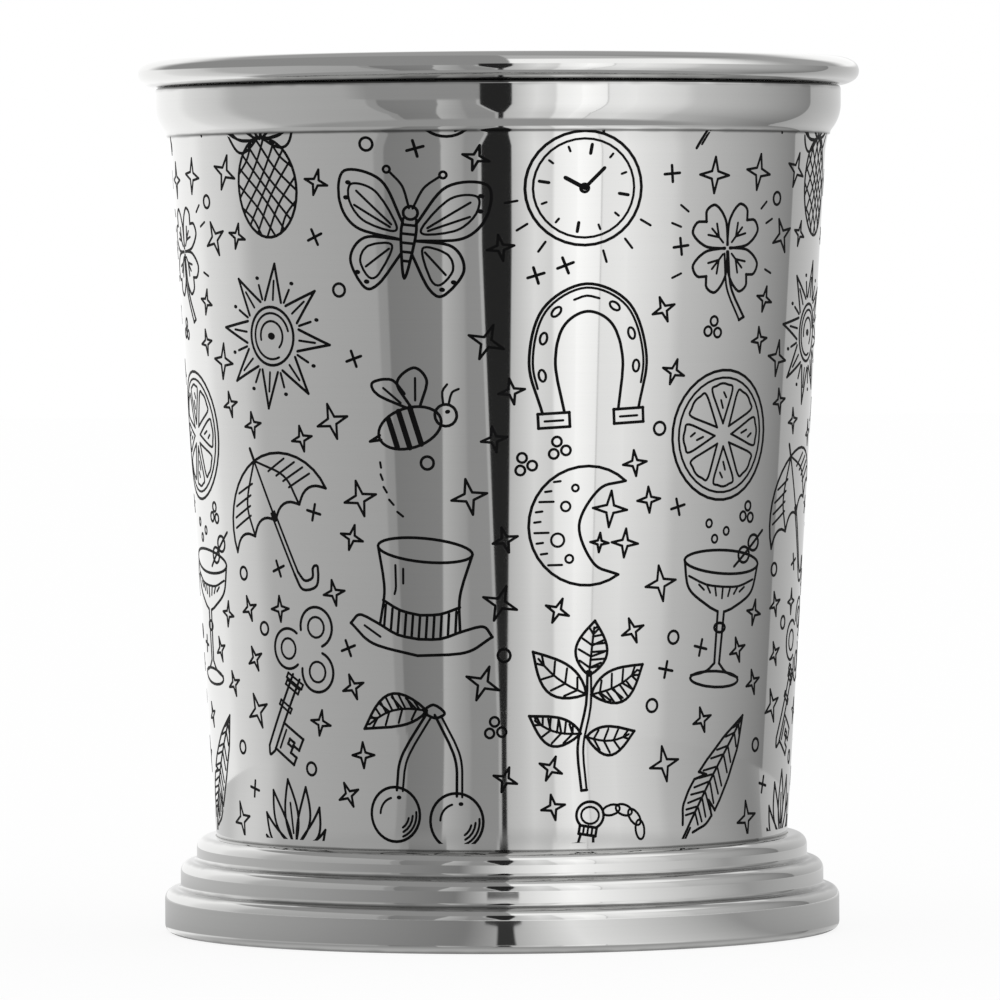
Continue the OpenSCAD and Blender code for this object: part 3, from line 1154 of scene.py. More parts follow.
def draw_feather(d):
    rib = smooth([-0.4 - 9.2j, -0.2 - 4.5j, 0.3 + 1j, 1.6 + 8.6j], steps=14)
    d.line(*rib)
    d.line(*[p + 0.34 for p in rib[2:12]], weight=0.6)
    for way, reach, cut in ((0.86 - 0.5j, 2.9, 4), (-0.86 - 0.5j, 2.7, 6)):
        def at(t):
            return rib[int((0.30 + 0.70 * t) * (len(rib) - 1))]

        side = [at(k / 12) + way * reach * math.sin(math.pi * min(1, k / 12 * 0.93 + 0.07)) ** 0.65 for k in range(13)]
        d.line(*smooth(side[: cut + 1], steps=3))
        d.line(side[cut], side[cut] * 0.45 + at((cut + 0.9) / 12) * 0.55, side[cut + 1])
        d.line(*smooth(side[cut + 1:] + [rib[-1]], steps=3))
        for k in range(1, 12):
            root = at(k / 12 + 0.04)
            d.line(root * 0.92 + side[k] * 0.08, root * 0.25 + side[k] * 0.75, weight=0.6)
    d.place(0, turn=-32)


def draw_butterfly(d):
    d.curve(0.7 + 1.4j, 3.4 + 5.6j, 7.4 + 6.2j, 7.7 + 3.0j, 5.6 + 0.4j, 0.8 - 0.4j)
    d.curve(0.8 - 0.4j, 4.6 - 0.6j, 6.0 - 3.0j, 4.2 - 5.8j, 2.6 - 5.2j, 0.6 - 1.9j)
    d.curve(1.5 + 1.4j, 3.9 + 4.4j, 6.5 + 4.9j, 6.6 + 3.1j, 4.9 + 1.2j, 1.7 + 0.4j, closed=True, weight=0.7)
    d.curve(1.6 - 1.1j, 4.1 - 1.4j, 4.9 - 3.0j, 3.8 - 4.7j, 2.7 - 4.2j, closed=True, weight=0.7)
    for a, b in ((1.9 + 1.1j, 5.9 + 4.2j), (2.0 + 0.8j, 6.0 + 2.7j), (1.9 - 1.5j, 4.2 - 3.6j)):
        d.line(a, b, weight=0.7)
    for spot in (6.9 + 5.0j, 7.0 + 3.4j, 5.1 - 4.3j, 4.0 - 5.2j):
        d.dot(spot, 0.28)
    d.curve(0.2 + 3.0j, 1.1 + 5.2j, 2.6 + 6.6j, weight=0.85)
    d.oval(2.9 + 6.8j, 0.35, weight=0.9)
    d.mirror()
    d.oval(2.5j, 0.75, 0.7)
    d.curve(-0.7 + 1.8j, -0.75 - 0.2j, -4.4j, 0.75 - 0.2j, 0.7 + 1.8j)
    for k in range(5):
        half, y = 0.66 - 0.09 * k, 1.2 - 0.95 * k
        d.line(complex(-half, y), complex(half, y), weight=0.95)


def draw_pocket_watch(d):
    middle = -1.4j
    d.oval(middle, 6.0)
    d.oval(middle, 5.2, weight=0.7)
    for k in range(12):
        long = k % 3 == 0
        d.line(middle + rod(30 * k, 3.7 if long else 4.15), middle + rod(30 * k, 4.6), weight=1.1 if long else 0.75)
    d.line(middle, middle + rod(55, 2.9), weight=1.2)
    d.line(middle, middle + rod(160, 2.2), weight=1.4)
    d.oval(middle, 0.42)
    d.line(-0.9 + 4.6j, -0.75 + 5.6j, 0.75 + 5.6j, 0.9 + 4.6j)
    d.line(-1.0 + 5.6j, 1.0 + 5.6j, 1.0 + 6.5j, -1.0 + 6.5j, closed=True)
    d.bars(3, (-0.75 + 5.7j, -0.75 + 6.4j), (0.75 + 5.7j, 0.75 + 6.4j), 0.6)
    d.oval(7.7j, 1.6, 1.45, start=-52, end=232)
    d.oval(7.7j, 1.05, 0.9, weight=0.7)
    link = 2.4 + 8.6j
    for k in range(4):
        d.oval(link, 1.05, 0.55, turn=20 - 30 * k, weight=0.85)
        link += rod(8 - 30 * k, 1.55)
    for turn in (200, 222, 244, -20, -42, -64):
        d.line(middle + rod(turn, 6.9), middle + rod(turn, 8.1), weight=0.85)


def draw_umbrella(d):
    d.oval(0, 8.0, 7.0, start=0, end=180)
    for x in (-6, -2, 2, 6):
        d.curve(x - 2, x - 1 + 0.75j, x + 1j, x + 1 + 0.75j, x + 2)
    for x in (-4, 4):
        d.curve(x, x * 0.86 + 3.6j, 7.0j, weight=0.85)
    d.line(0, 7.0j, weight=0.85)
    for hand in (-1, 1):
        for t in (0.35, 0.5, 0.65, 0.8):
            inner = complex(hand * 4.1 * (1 - t * 0.25) * (1 - t**3), 6.3 * t)
            d.line(inner, complex(hand * 7.25 * math.sqrt(1 - t * t), 6.5 * t), weight=0.6)
    d.line(7.0j, 8.4j, weight=1.2)
    d.line(-0.28 + 0.9j, -0.28 - 6.2j, weight=0.8)
    d.line(0.28 + 0.9j, 0.28 - 6.2j, weight=0.8)
    d.curve(-0.28 - 6.2j, -8.1j, 1.9 - 8.6j, 3.0 - 7.0j, 2.7 - 6.6j, 2.3 - 6.8j)
    d.curve(0.28 - 6.2j, 0.7 - 7.4j, 1.8 - 7.6j, 2.3 - 6.8j)
    d.place(0, offset=-0.4j, turn=18)


def draw_bee(d):
    d.oval(0, 3.5, 2.1)
    for x, half in ((-1.9, 1.55), (-0.6, 1.95), (0.7, 1.95)):
        d.line(complex(x, -half), complex(x, half), weight=1.9)
    d.oval(4.1 + 0.15j, 1.15)
    d.dot(4.4 + 0.45j, 0.25)
    d.curve(4.7 + 1.1j, 5.4 + 2.2j, 6.2 + 2.4j, weight=0.75)
    d.curve(4.2 + 1.3j, 4.5 + 2.6j, 5.2 + 3.2j, weight=0.75)
    d.curve(0.9 + 1.9j, 0.2 + 4.9j, 2.4 + 5.9j, 3.3 + 4.2j, 1.9 + 2.0j)
    d.curve(0.5 + 2.0j, -2.2 + 4.3j, -2.4 + 5.7j, -0.3 + 5.4j, 0.6 + 3.6j)
    d.line(1.5 + 2.6j, 2.2 + 4.8j, weight=0.6)
    d.line(-0.1 + 2.8j, -1.4 + 4.8j, weight=0.6)
    d.line(-3.4 + 0.2j, -4.6 - 0.1j, -3.4 - 0.3j)
    for k in range(5):
        d.line(rod(205 + 8 * k, 6.0 + 0.9 * k) + 1.2, rod(209 + 8 * k, 6.3 + 0.9 * k) + 1.2, weight=0.7)
    d.place(0, offset=-0.6 - 1.4j, turn=12)


def draw_clover(d):
    for k in range(4):
        since = d.mark()
        for hand in (1, -1):
            d.curve(*[complex(x, hand * y) for x, y in ((0.25, 0.3), (2.3, 1.9), (4.4, 2.1), (4.9, 0.9), (4.1, 0))])
            d.line(1.7, complex(2.9, 0.8 * hand), weight=0.6)
        d.line(0.9, 3.0, weight=0.7)
        d.place(since, turn=45 + 90 * k)
    d.curve(0.1 - 0.4j, 0.6 - 4.2j, 2.6 - 7.4j)
    d.curve(-0.4 - 0.6j, -4.3j, 1.9 - 7.7j, weight=0.8)
    d.line(2.6 - 7.4j, 1.9 - 7.7j)
    for turn in (38, 22, 142, 158, -22, 202):
        d.line(rod(turn, 6.6), rod(turn, 7.7), weight=0.8)
    d.place(0, offset=0.9j)


def draw_coupe(d):
    d.oval(5.6j, 5.9, 1.25)
    since = d.mark()
    d.curve(-5.9 + 5.6j, -5.0 + 2.6j, -2.2 + 0.9j, -0.55 + 0.3j)
    d.curve(-5.1 + 3.9j, -2.6 + 3.1j, 2.95j, weight=0.85)
    d.line(-0.5 + 0.3j, -0.38 - 5.2j)
    d.curve(-0.38 - 5.2j, -1.6 - 6.1j, -3.7 - 6.6j)
    d.mirror(since)
    for k in range(7):
        x = -3.6 + 1.2 * k
        d.line(complex(x, 2.75 + abs(x) * 0.08), complex(x * 0.8, 1.75 + abs(x) * 0.22), weight=0.65)
    d.oval(-1.4j, 0.85, 0.5)
    d.oval(-6.9j, 3.8, 0.85)
    d.line(1.6 + 5.2j, 6.3 + 9.2j)
    d.oval(3.1 + 6.5j, 0.95, 0.85)
    d.oval(4.7 + 7.85j, 0.95, 0.85)
    for bubble in (-1.9 + 8.0j, -0.2 + 8.9j, -2.9 + 9.6j):
        d.oval(bubble, 0.42, weight=0.8)
    d.place(0, offset=-1.0j)


def draw_spark(d, reach=2.1):
    """A four-pointed spark."""
    tips = [rod(45 + 45 * i, reach * (0.30 if i % 2 == 0 else 1.0)) for i in range(8)]
    d.line(*tips, closed=True, weight=0.9)


MOTIFS = (
    draw_pineapple, draw_top_hat, draw_mint_sprig, draw_pocket_watch, draw_butterfly, draw_old_key,
    draw_orange_wheel, draw_umbrella, draw_cherries, draw_crescent, draw_clover, draw_horseshoe, draw_feather,
    draw_sun, draw_coupe, draw_bee,
)
FILLERS = {
    "spark": lambda d: draw_spark(d, 2.1),
    "small_spark": lambda d: draw_spark(d, 1.5),
    "ring": lambda d: d.oval(0, 0.75, weight=0.95),
    "plus": lambda d: (d.line(-0.95, 0.95), d.line(-0.95j, 0.95j)),
    "three_rings": lambda d: [d.oval(rod(90 + 120 * i, 0.85), 0.55, weight=0.9) for i in range(3)],
}

# Which motif stands where: four columns of four, each column shifted up or down
COLUMNS = [
    (["pineapple", "old_key", "umbrella", "sun"], 9.0),
    (["cherries", "top_hat", "bee", "butterfly"], 20.6),
    (["pocket_watch", "mint_sprig", "crescent", "horseshoe"], 7.6),
    (["feather", "coupe", "orange_wheel", "clover"], 18.6),
]


# ---------------------------------------------------------------- print


# How far each small mark reaches from its middle, and how many the layout has
MARKS = {"spark": (2.2, 15), "small_spark": (1.7, 34), "three_rings": (1.7, 5), "ring": (1.1, 12), "plus": (1.3, 14)}


def drawings():
    """Every motif and filler, drawn."""
    made = {}
    for name, draw in {**{draw.__name__[len("draw_"):]: draw for draw in MOTIFS}, **FILLERS}.items():
        made[name] = Drawing()
        draw(made[name])
    return made


def layout(form, prints, made):
    """Places of all drawings on the unrolled wall, one list of (name, place, turn, size) for each repeat."""
    low, high = prints.low / MM, form.band_low
    cell_w = 2 * math.pi * REFERENCE_R / prints.repeats
    cell_h = high - low
    dice = random.Random(prints.seed)
    placed, ink = [], []
    for i, (names, start) in enumerate(COLUMNS):
        for k, name in enumerate(names):
            right = (i + 0.5) * cell_w / len(COLUMNS) + dice.uniform(-0.7, 0.7)
            centre = complex(right, start + k * cell_h / len(names) + dice.uniform(-0.5, 0.5))
            turn = dice.uniform(-9, 9)
            placed.append((name, centre, turn, prints.motif))
            for points, closed, _ in made[name].strokes:
                for a, b in zip(points, points[1:] + points[:closed]):
                    for p in divided([a, b]):
                        ink.append(centre + p * rod(turn) * prints.motif)

    def away(p, q):
        """Distance in the repeating cell."""
        dx, dy = abs(p.real - q.real) % cell_w, abs(p.imag - q.imag) % cell_h
        return math.hypot(min(dx, cell_w - dx), min(dy, cell_h - dy))

    # The motifs' ink is sorted into squares, so that a small mark only looks at its own neighbourhood
    across, up = int(cell_w // SQUARE), int(cell_h // SQUARE)
    squares = {}

    def square(p):
        return math.floor(p.real / cell_w * across) % across, math.floor((p.imag - low) / cell_h * up) % up

    for p in ink:
        squares.setdefault(square(p), []).append(p)

    def room(p):
        x, y = square(p)
        near = (squares.get(((x + i) % across, (y + k) % up), ()) for i in (-1, 0, 1) for k in (-1, 0, 1))
        return min((away(p, q) for group in near for q in group), default=float(SQUARE))

    marks = []
    middles = [q for _, q, _, _ in placed]
    for name, (reach, wanted) in MARKS.items():
        count = 0
        for _ in range(TRIES):
            p = complex(dice.uniform(0, cell_w), dice.uniform(low, low + cell_h))
            apart = all(away(p, q) > reach + MARKS[other][0] + MARK_GAP for other, q in marks)
            if count < wanted and apart and room(p) > reach + INK_GAP and all(away(p, q) > MIDDLE_GAP for q in middles):
                marks.append((name, p))
                placed.append((name, p, dice.uniform(-25, 25), 1.0))
                count += 1
    spread = [[] for _ in range(prints.repeats)]
    for repeat in range(prints.repeats):
        for name, p, turn, size in placed:
            for lift in (-cell_h, 0, cell_h):
                q = p + repeat * cell_w + 1j * lift - prints.repeats * cell_w / 2
                if low - 10 < q.imag < high + 10:
                    spread[repeat].append((name, q, turn, size))
    return spread


@node_group(
    "Wrapped Print", GEOMETRY_TREE, "Print", Places=GEOMETRY, Drawings="NodeSocketCollection", Line_Width=0.0004,
    Ink_Thickness=0.00003, Root_Depth=0.00002, Unrolled_Radius=0.0365, Wall_Radius=0.034, Wall_Taper=0.05,
    Set_Out=0.0005, Set_Start=0.092, Set_Rise=0.003, Slow_Share=0.5, Material=MATERIAL,
)
def wrapped_print(
    nodes, places, shelf, width, ink, root, unrolled, wall_r, taper, set_out, set_start, set_rise, slow, material
):
    """Sets the drawings out flat, gives each stroke its width, and wraps them on the wall."""

    def attribute(label, kind="FLOAT"):
        return nodes.get("GeometryNodeInputNamedAttribute", label, data_type=kind)

    shapes = nodes.get(
        "GeometryNodeCollectionInfo", shelf, inputs={"Separate Children": True, "Reset Children": True}
    )
    spin = nodes.get("FunctionNodeAxisAngleToRotation", inputs={"Axis": (0, 0, 1), "Angle": attribute("turn")})
    stamps = nodes.get(
        "GeometryNodeInstanceOnPoints",
        places,
        inputs={
            "Instance": shapes,
            "Pick Instance": True,
            "Instance Index": attribute("pick", "INT"),
            "Rotation": spin,
            "Scale": attribute("size"),
        },
    )
    strokes = nodes.get("GeometryNodeMeshToCurve", nodes.get("GeometryNodeRealizeInstances", stamps))
    level = nodes.get("GeometryNodeSetCurveNormal", strokes, mode="Z_UP")

    # The pen's section: a low trapezium, whose foot is let into the steel
    half = width * 0.5
    shoulder = half * 0.86
    pen = nodes.put("GeometryNodeCurvePrimitiveQuadrilateral", mode="POINTS")
    for i, corner in enumerate(((half, root), (shoulder, -ink), (-shoulder, -ink), (-half, root)), 1):
        nodes.feed(pen.inputs[f"Point {i}"], nodes.vector(*corner, 0.0))
    ribbons = nodes.get(
        "GeometryNodeCurveToMesh",
        level,
        inputs={"Profile Curve": Wire(nodes, pen.outputs[0]), "Scale": attribute("width"), "Fill Caps": True},
    )

    # Wrapping: right becomes the angle round the axis, up the height, and every stroke is equally thick
    x, y, z = nodes.xyz(nodes.get("GeometryNodeInputPosition"))
    above = z > 0.0
    proud = above * ink - (1.0 - above) * root
    # The wall's outward set is a slow bend and a short one, each close to a parabola
    up = (y - set_start).maths("DIVIDE", set_rise, clamp=True)
    rest = 1.0 - up
    upper = up > slow
    eased = up * up / slow * (1.0 - upper) + (1.0 - rest * rest / (1.0 - slow)) * upper
    radius = y * taper + wall_r + eased * set_out + proud
    angle = x / unrolled
    place = nodes.vector(radius * angle.maths("SINE"), -(radius * angle.maths("COSINE")), y)
    return nodes.finished(nodes.get("GeometryNodeSetPosition", ribbons, inputs={"Position": place}), material)


def build_print(form, prints):
    """Draws, lays out and wraps the print, one piece for each repeat of the layout."""
    made = drawings()
    names = sorted(made)
    shelf = bpy.data.collections.new("drawings")
    bpy.context.scene.collection.children.link(shelf)
    for i, name in enumerate(names):
        lines = [([p * MM for p in points], closed, widths) for points, closed, widths in made[name].lines()]
        shelf.objects.link(bpy.data.objects.new(f"drawing_{i:02d}", wire_mesh(f"drawing_{i:02d}", lines)))
    inputs = {
        "Drawings": shelf,
        "Line Width": prints.line,
        "Ink Thickness": prints.ink,
        "Unrolled Radius": REFERENCE_R * MM,
        "Wall Radius": form.body_r(0) * MM,
        "Wall Taper": form.taper,
        "Set Out": form.joggle_out * MM,
        "Set Start": form.joggle_foot_z * MM,
        "Set Rise": (form.band_low - form.joggle_foot_z) * MM,
        "Slow Share": form.joggle_bend / (form.joggle_bend + form.joggle_return),
        "Material": ink_material(),
    }
    hosts = []
    for repeat, places in enumerate(layout(form, prints, made), 1):
        mesh = bpy.data.meshes.new("places")
        mesh.from_pydata([(p.real * MM, p.imag * MM, 0.0) for _, p, _, _ in places], [], [])
        for label, kind, values in (
            ("pick", "INT", [names.index(name) for name, _, _, _ in places]),
            ("turn", "FLOAT", [math.radians(turn) for _, _, turn, _ in places]),
            ("size", "FLOAT", [size for _, _, _, size in places]),
        ):
            mesh.attributes.new(label, kind, "POINT").data.foreach_set("value", values)
        hosts.append(hosted(f"wall_print_{repeat}", mesh, wrapped_print(), inputs))
        made_plain(hosts[-1])
    for o in list(shelf.objects):
        wires = o.data
        bpy.data.objects.remove(o)
        bpy.data.meshes.remove(wires)
    bpy.data.collections.remove(shelf)

    def trim(work):
        for height, side in ((prints.low, -1), (prints.high, 1)):
            cut = bmesh.ops.bisect_plane(
                work,
                geom=work.verts[:] + work.edges[:] + work.faces[:],
                dist=1e-7,
                plane_co=(0, 0, height),
                plane_no=(0, 0, side),
                clear_outer=True,
            )
            rims = [e for e in cut["geom_cut"] if isinstance(e, bmesh.types.BMEdge)]
            bmesh.ops.holes_fill(work, edges=rims, sides=0)

    for host in hosts:
        face_outwards(host.data, trim)
        host.data.shade_flat()
        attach(host, BODY)


# ---------------------------------------------------------------- studio


@node_group(
    "Studio Card", SHADER, "Tone", Azimuth=0.0, Height=0.0, Behind=0.0, From=0.0, To=0.0, From_Lean=0.0,
    To_Lean=0.0, Soft_From=0.0, Soft_To=0.0, Tone_From=0.0, Tone_To=0.0,
)
def studio_card(nodes, azimuth, height, behind, start, end, start_lean, end_lean, start_soft, end_soft, *tones):
    """One upright card of the studio that the steel reflects, laid over the tones behind it."""

    def edge(place, soft, *ends):
        reach = soft * 0.5
        return nodes.ramp(azimuth, place - reach, place + reach, *ends)

    start, end = height * start_lean + start, height * end_lean + end
    mask = edge(start, start_soft, 0.0, 1.0) * edge(end, end_soft, 1.0, 0.0)
    return behind.towards(nodes.ramp(azimuth, start, end, *tones, smooth=False), mask)


# From, to, how far both edges lean in degrees a metre up, softness of both edges, tone at both edges.
# Azimuths in degrees round the cup's axis, 0 towards the camera and + to its right.
CARD_FEEDS = ("From", "To", "From_Lean", "To_Lean", "Soft_From", "Soft_To", "Tone_From", "Tone_To")
CARDS = {
    "backdrop left": (-181, -119, 0, 0, 1, 9, 1.12, 1.0),
    "white wing left": (-119, -89, 0, 0, 9, 12, 0.92, 0.54),
    "grey wing left": (-91, -36, 0, 0, 12, 1.2, 0.53, 0.42),
    "rim of the flag": (-36.6, -32.6, -32, -32, 1.2, 0.8, 0.35, 0.33),
    "black flag": (-33.3, -20.1, -32, 39, 0.8, 0.7, 0.235, 0.27),
    "lit edge of the panel": (-20.1, -10, 39, 0, 0.7, 1.5, 0.54, 0.33),
    "panel left of the camera": (-10.5, -0.9, 0, -77, 1.5, 0.5, 0.325, 0.33),
    "bright edge of the panel": (-0.95, 0.1, -77, -77, 0.4, 0.3, 0.48, 0.5),
    "softbox edge": (1.8, 11, 32, 0, 0.6, 1.5, 0.6, 0.95),
    "fold": (11, 18.3, 0, -22, 1.5, 1.3, 0.9, 0.78),
    "softbox": (18.3, 24.3, -22, 0, 1.3, 0.6, 1.05, 1.2),
    "softbox right half": (24.3, 30.45, 0, 23, 0.6, 0.6, 1.25, 1.08),
    "joint of the softboxes": (30.3, 30.75, 23, 23, 0.3, 0.3, 0.72, 0.72),
    "second softbox": (30.75, 41, 23, 0, 0.5, 1.5, 0.98, 1.03),
    "second softbox fade": (41, 60, 0, 0, 0.6, 6, 1.0, 0.66),
    "grey wing right": (59, 115.5, 0, 0, 6, 1.0, 0.66, 0.25),
    "backdrop right": (115.5, 181, 0, 0, 1.0, 1, 0.47, 0.9),
}
# The slit that the camera looks through, a wedge that closes on the table
SLIT = (0.1, 1.8, -77.0, 32.0, 0.3, 0.5, 0.022, 0.022)
CARD_H = 0.068


@node_group("Studio Tones", SHADER, "Tone", Azimuth=0.0, Height=0.05)
def studio_tones(nodes, azimuth, height):
    """How bright the card at an azimuth is, at a height above the table."""
    on_card = height.maths("MINIMUM", CARD_H)

    def laid_over(behind, card, reach=0.0):
        feeds = dict(zip(CARD_FEEDS, card))
        feeds["To"] += reach
        return nodes.use(studio_card, Azimuth=azimuth, Height=on_card, Behind=behind, **feeds)

    tone = 0.3
    for card in CARDS.values():
        # Each card reaches under the soft edge of the next one
        tone = laid_over(tone, card, reach=card[5])
    # The right half is lit from above, so it darkens towards the table
    tone = tone * (1.0 - (CARD_H - on_card) * nodes.ramp(azimuth, 0.0, 8.0, 0.7, 2.3))
    # Over the cards: white in front to the right, grey elsewhere, and behind white only low down
    white = nodes.ramp(azimuth, 2.9, 3.6) * nodes.ramp(azimuth, 62.0, 100.0, 1.0, 0.12)
    white = white * nodes.ramp(height, 0.22, 0.31, 1.0, 0.3)
    behind = nodes.ramp(azimuth.maths("ABSOLUTE"), 118.0, 138.0) * nodes.ramp(height, 0.17, 0.24, 1.0, 0.1)
    over = white.over(behind) * 0.78 + 0.31
    front = nodes.ramp(azimuth, -60.0, -30.0) * nodes.ramp(azimuth, -0.6, 2.0, 1.0, 0.0)
    low_end = front * -0.026 + 0.112
    tone = tone.towards(over, nodes.ramp(height, low_end, low_end + 0.014))
    return laid_over(tone, SLIT).towards(tone, nodes.ramp(height, 0.112, 0.124))


def place_round_axis(nodes):
    """Azimuth in degrees, height, and distance from the axis of a point of the stage."""
    x, y, z = nodes.xyz(nodes.place())
    return x.maths("ARCTAN2", -y).maths("DEGREES"), z, (x * x + y * y).maths("SQRT")


def bare_material(name):
    """A node material with its output alone, its nodes, and the output's socket."""
    material, nodes, _ = new_material(name)
    tree = material.node_tree
    tree.nodes.remove(next(n for n in tree.nodes if n.type == "BSDF_PRINCIPLED"))
    return material, nodes, next(n for n in tree.nodes if n.type == "OUTPUT_MATERIAL").inputs["Surface"]


def tent_material(strength):
    """The cards' own light."""
    material, nodes, surface = bare_material("Cards")
    azimuth, height, _ = place_round_axis(nodes)
    nodes.feed(surface, nodes.glow(nodes.use(studio_tones, Azimuth=azimuth, Height=height), strength))
    return material


def studio_world():
    """Plain white for the camera and for metal and glass, and the plain light on the cup."""
    world = bpy.data.worlds.new("Studio")
    world.use_nodes = True
    world.node_tree.nodes.clear()
    nodes = Nodes(world.node_tree)
    light, white = [nodes.get("ShaderNodeBackground", (tone, tone, tone, 1), 1.0) for tone in (0.98, 1)]
    paths = nodes.put("ShaderNodeLightPath").outputs
    camera, glossy, through = [Wire(nodes, paths[f"Is {kind} Ray"]) for kind in ("Camera", "Glossy", "Transmission")]
    nodes.put("ShaderNodeOutputWorld", nodes.joined(camera.over(glossy).over(through), light, white))
    return world


# Painted reflection: two rings of glowing tones on the table, which only the steel shows, at a very low angle on the
# foot: azimuth and tone of each stop's middle. The tone runs evenly from one to the next. The outer ring is laid
# further off and is brighter in front.
OUTER_PAINTED_REFLECTION = {
    "white behind, left": (-181, 0.8),
    "grey left": (-56, 0.36),
    "black": (-14, 0.22),
    "grey in front": (1, 0.76),
    "white": (21, 1.18),
    "grey right": (84, 0.37),
    "white behind, right": (181, 0.8),
}
INNER_PAINTED_REFLECTION = {
    "pale behind, left": (-181, 0.7),
    "grey left": (-48, 0.35),
    "black": (-9, 0.225),
    "grey in front": (5, 0.56),
    "white": (18, 0.92),
    "grey right": (66, 0.34),
    "pale behind, right": (181, 0.7),
}

def cloth_tone(nodes, azimuth, cloths):
    """Tone of a ring of painted reflection at an azimuth."""
    top = 1.25
    scale = nodes.put("ShaderNodeValToRGB", nodes.ramp(azimuth, -181.0, 181.0, smooth=False))
    stops = scale.color_ramp.elements
    while len(stops) < len(cloths):
        stops.new(0.5)
    for stop, (turn, _) in zip(stops, cloths.values()):
        stop.position = (turn + 181) / 362
    for stop, (_, tone) in zip(stops, cloths.values()):
        stop.color = (tone / top, tone / top, tone / top, 1.0)
    return Wire(nodes, scale.outputs["Color"]) * top


def floor_material():
    """White table with the cup's soft shadow; in the steel it is a painted reflection that glows greyer and is half
    glossy; it is clear from below.
    """
    material, nodes, surface = bare_material("Table")
    azimuth, _, away = place_round_axis(nodes)
    grain = nodes.noise(nodes.place(), 500.0)
    board = nodes.get("ShaderNodeBsdfDiffuse", nodes.mixed(grain, (0.95, 0.95, 0.95), (1.0, 1.0, 1.0)))
    shown = nodes.joined(0.86, board, nodes.glow(1.0))
    # What the steel shows of it, a painted reflection: a glow, grey near the cup as painted shade, as bright as the
    # cards at their foot, and a mirror at a low angle
    near = nodes.ramp(away, 0.093, 0.115, 1.0, 0.0)
    tone = nodes.use(studio_tones, Azimuth=azimuth, Height=0.0).towards(0.34, near)
    tone = tone.over(nodes.ramp(away, 0.036, 0.046, 0.85, 0.0))
    sheen = nodes.get("ShaderNodeBsdfGlossy", inputs={"Color": (0.97, 0.97, 0.97, 1), "Roughness": 0.06})
    angle = nodes.get("ShaderNodeFresnel", 1.5)
    grazing = nodes.ramp(angle, 0.07, 0.36) * nodes.ramp(away, 0.095, 0.11, 1.0, 0.0)
    mirror = nodes.joined(grazing, nodes.glow(tone), sheen)
    # At a lower angle still, rings of painted reflection and the painted dark reflection of the slit, which widens away
    # from the cup
    wide = nodes.ramp(away, 0.084, 0.09)
    start, end = wide * -3.3 + -1.2, wide * 2.1 + 2.9
    slit = nodes.ramp(azimuth - start, -0.4, 0.4) * nodes.ramp(azimuth - end, -0.4, 0.4, 1.0, 0.0)
    reach = nodes.ramp(away, 0.05, 0.056) * nodes.ramp(away, 0.1, 0.11, 1.0, 0.0)
    further = nodes.ramp(away, 0.125, 0.13) * nodes.ramp(away, 0.141, 0.146, 1.0, 0.0)
    inner, outer = [cloth_tone(nodes, azimuth, cloths) for cloths in (INNER_PAINTED_REFLECTION, OUTER_PAINTED_REFLECTION)]
    low_tone = inner.towards(outer, nodes.ramp(away, 0.095, 0.12)).towards(0.04, slit * (reach + further))
    mirror = nodes.joined(nodes.ramp(angle, 0.5, 0.58), mirror, nodes.glow(low_tone))
    paths = nodes.put("ShaderNodeLightPath").outputs
    seen = nodes.joined(Wire(nodes, paths["Is Camera Ray"]), board, shown)
    both = nodes.joined(Wire(nodes, paths["Is Glossy Ray"]), seen, mirror)
    under = nodes.get("ShaderNodeNewGeometry", out="Backfacing")
    nodes.feed(surface, nodes.joined(under, both, nodes.get("ShaderNodeBsdfTransparent")))
    return material


def stage_object(name, build, material):
    """A floor or backdrop that isn't part of the cup."""
    work = bmesh.new()
    build(work)
    mesh = bpy.data.meshes.new(name)
    work.to_mesh(mesh)
    work.free()
    mesh.materials.append(material)
    piece = bpy.data.objects.new(name, mesh)
    bpy.context.scene.collection.objects.link(piece)
    return piece


# ---------------------------------------------------------------- operators


class PieceOperator:
    """What all the operators share."""

    bl_options = {"REGISTER", "UNDO"}

    def execute(self, context):
        self.build(context.scene, Form(context.scene.julep_cup_sizes))
        return {"FINISHED"}


class JULEPCUP_OT_beaker(PieceOperator, bpy.types.Operator):
    """Spin the beaker: floor, tapered wall, outward set below the collar, and lip"""

    bl_idname = "julepcup.beaker"
    bl_label = "Beaker"

    def build(self, scene, form):
        # Painted shade where the foot and the collar meet the wall
        seams = ((form.foot_h, 0.3, 0.7), (form.band_low, 0.3, 0.9))
        material = polished_steel("Wall", seams)
        turned("cup_body_spun", "cup_body", beaker_section(form), False, material)


class JULEPCUP_OT_rim_bead(PieceOperator, bpy.types.Operator):
    """Roll the oval bead round the rim"""

    bl_idname = "julepcup.rim_bead"
    bl_label = "Rim Bead"

    def build(self, scene, form):
        # Painted shade along the bead's lower edge
        material = polished_steel("Bead", ((form.bead_low, 0.45, 0.92),))
        turned("rim_bead_rolled", "rim_bead", bead_section(form), True, material)


class JULEPCUP_OT_collar_band(PieceOperator, bpy.types.Operator):
    """Roll the collar band under the bead"""

    bl_idname = "julepcup.collar_band"
    bl_label = "Collar Band"

    def build(self, scene, form):
        # Painted shade under the bead and at the collar's lower edge
        material = polished_steel("Collar", ((form.bead_low, 0.8, 0.85), (form.band_low, 0.3, 0.9)))
        turned("collar_band_rolled", "collar_band", collar_section(form), True, material)


class JULEPCUP_OT_foot_moulding(PieceOperator, bpy.types.Operator):
    """Spin the foot with its three rounded steps"""

    bl_idname = "julepcup.foot_moulding"
    bl_label = "Foot Moulding"

    def build(self, scene, form):
        creases = (form.step_h[0], form.step_h[0] + form.step_h[1])
        # Painted shade in the creases between the steps, at the foot's top and along the table
        seams = [(z, 0.42, 0.85) for z in creases] + [(form.foot_h, 0.45, 0.6), (0.0, 0.5, 0.9)]
        material = polished_steel("Foot", seams)
        turned("foot_moulding_spun", "foot_moulding", foot_section(form), True, material)


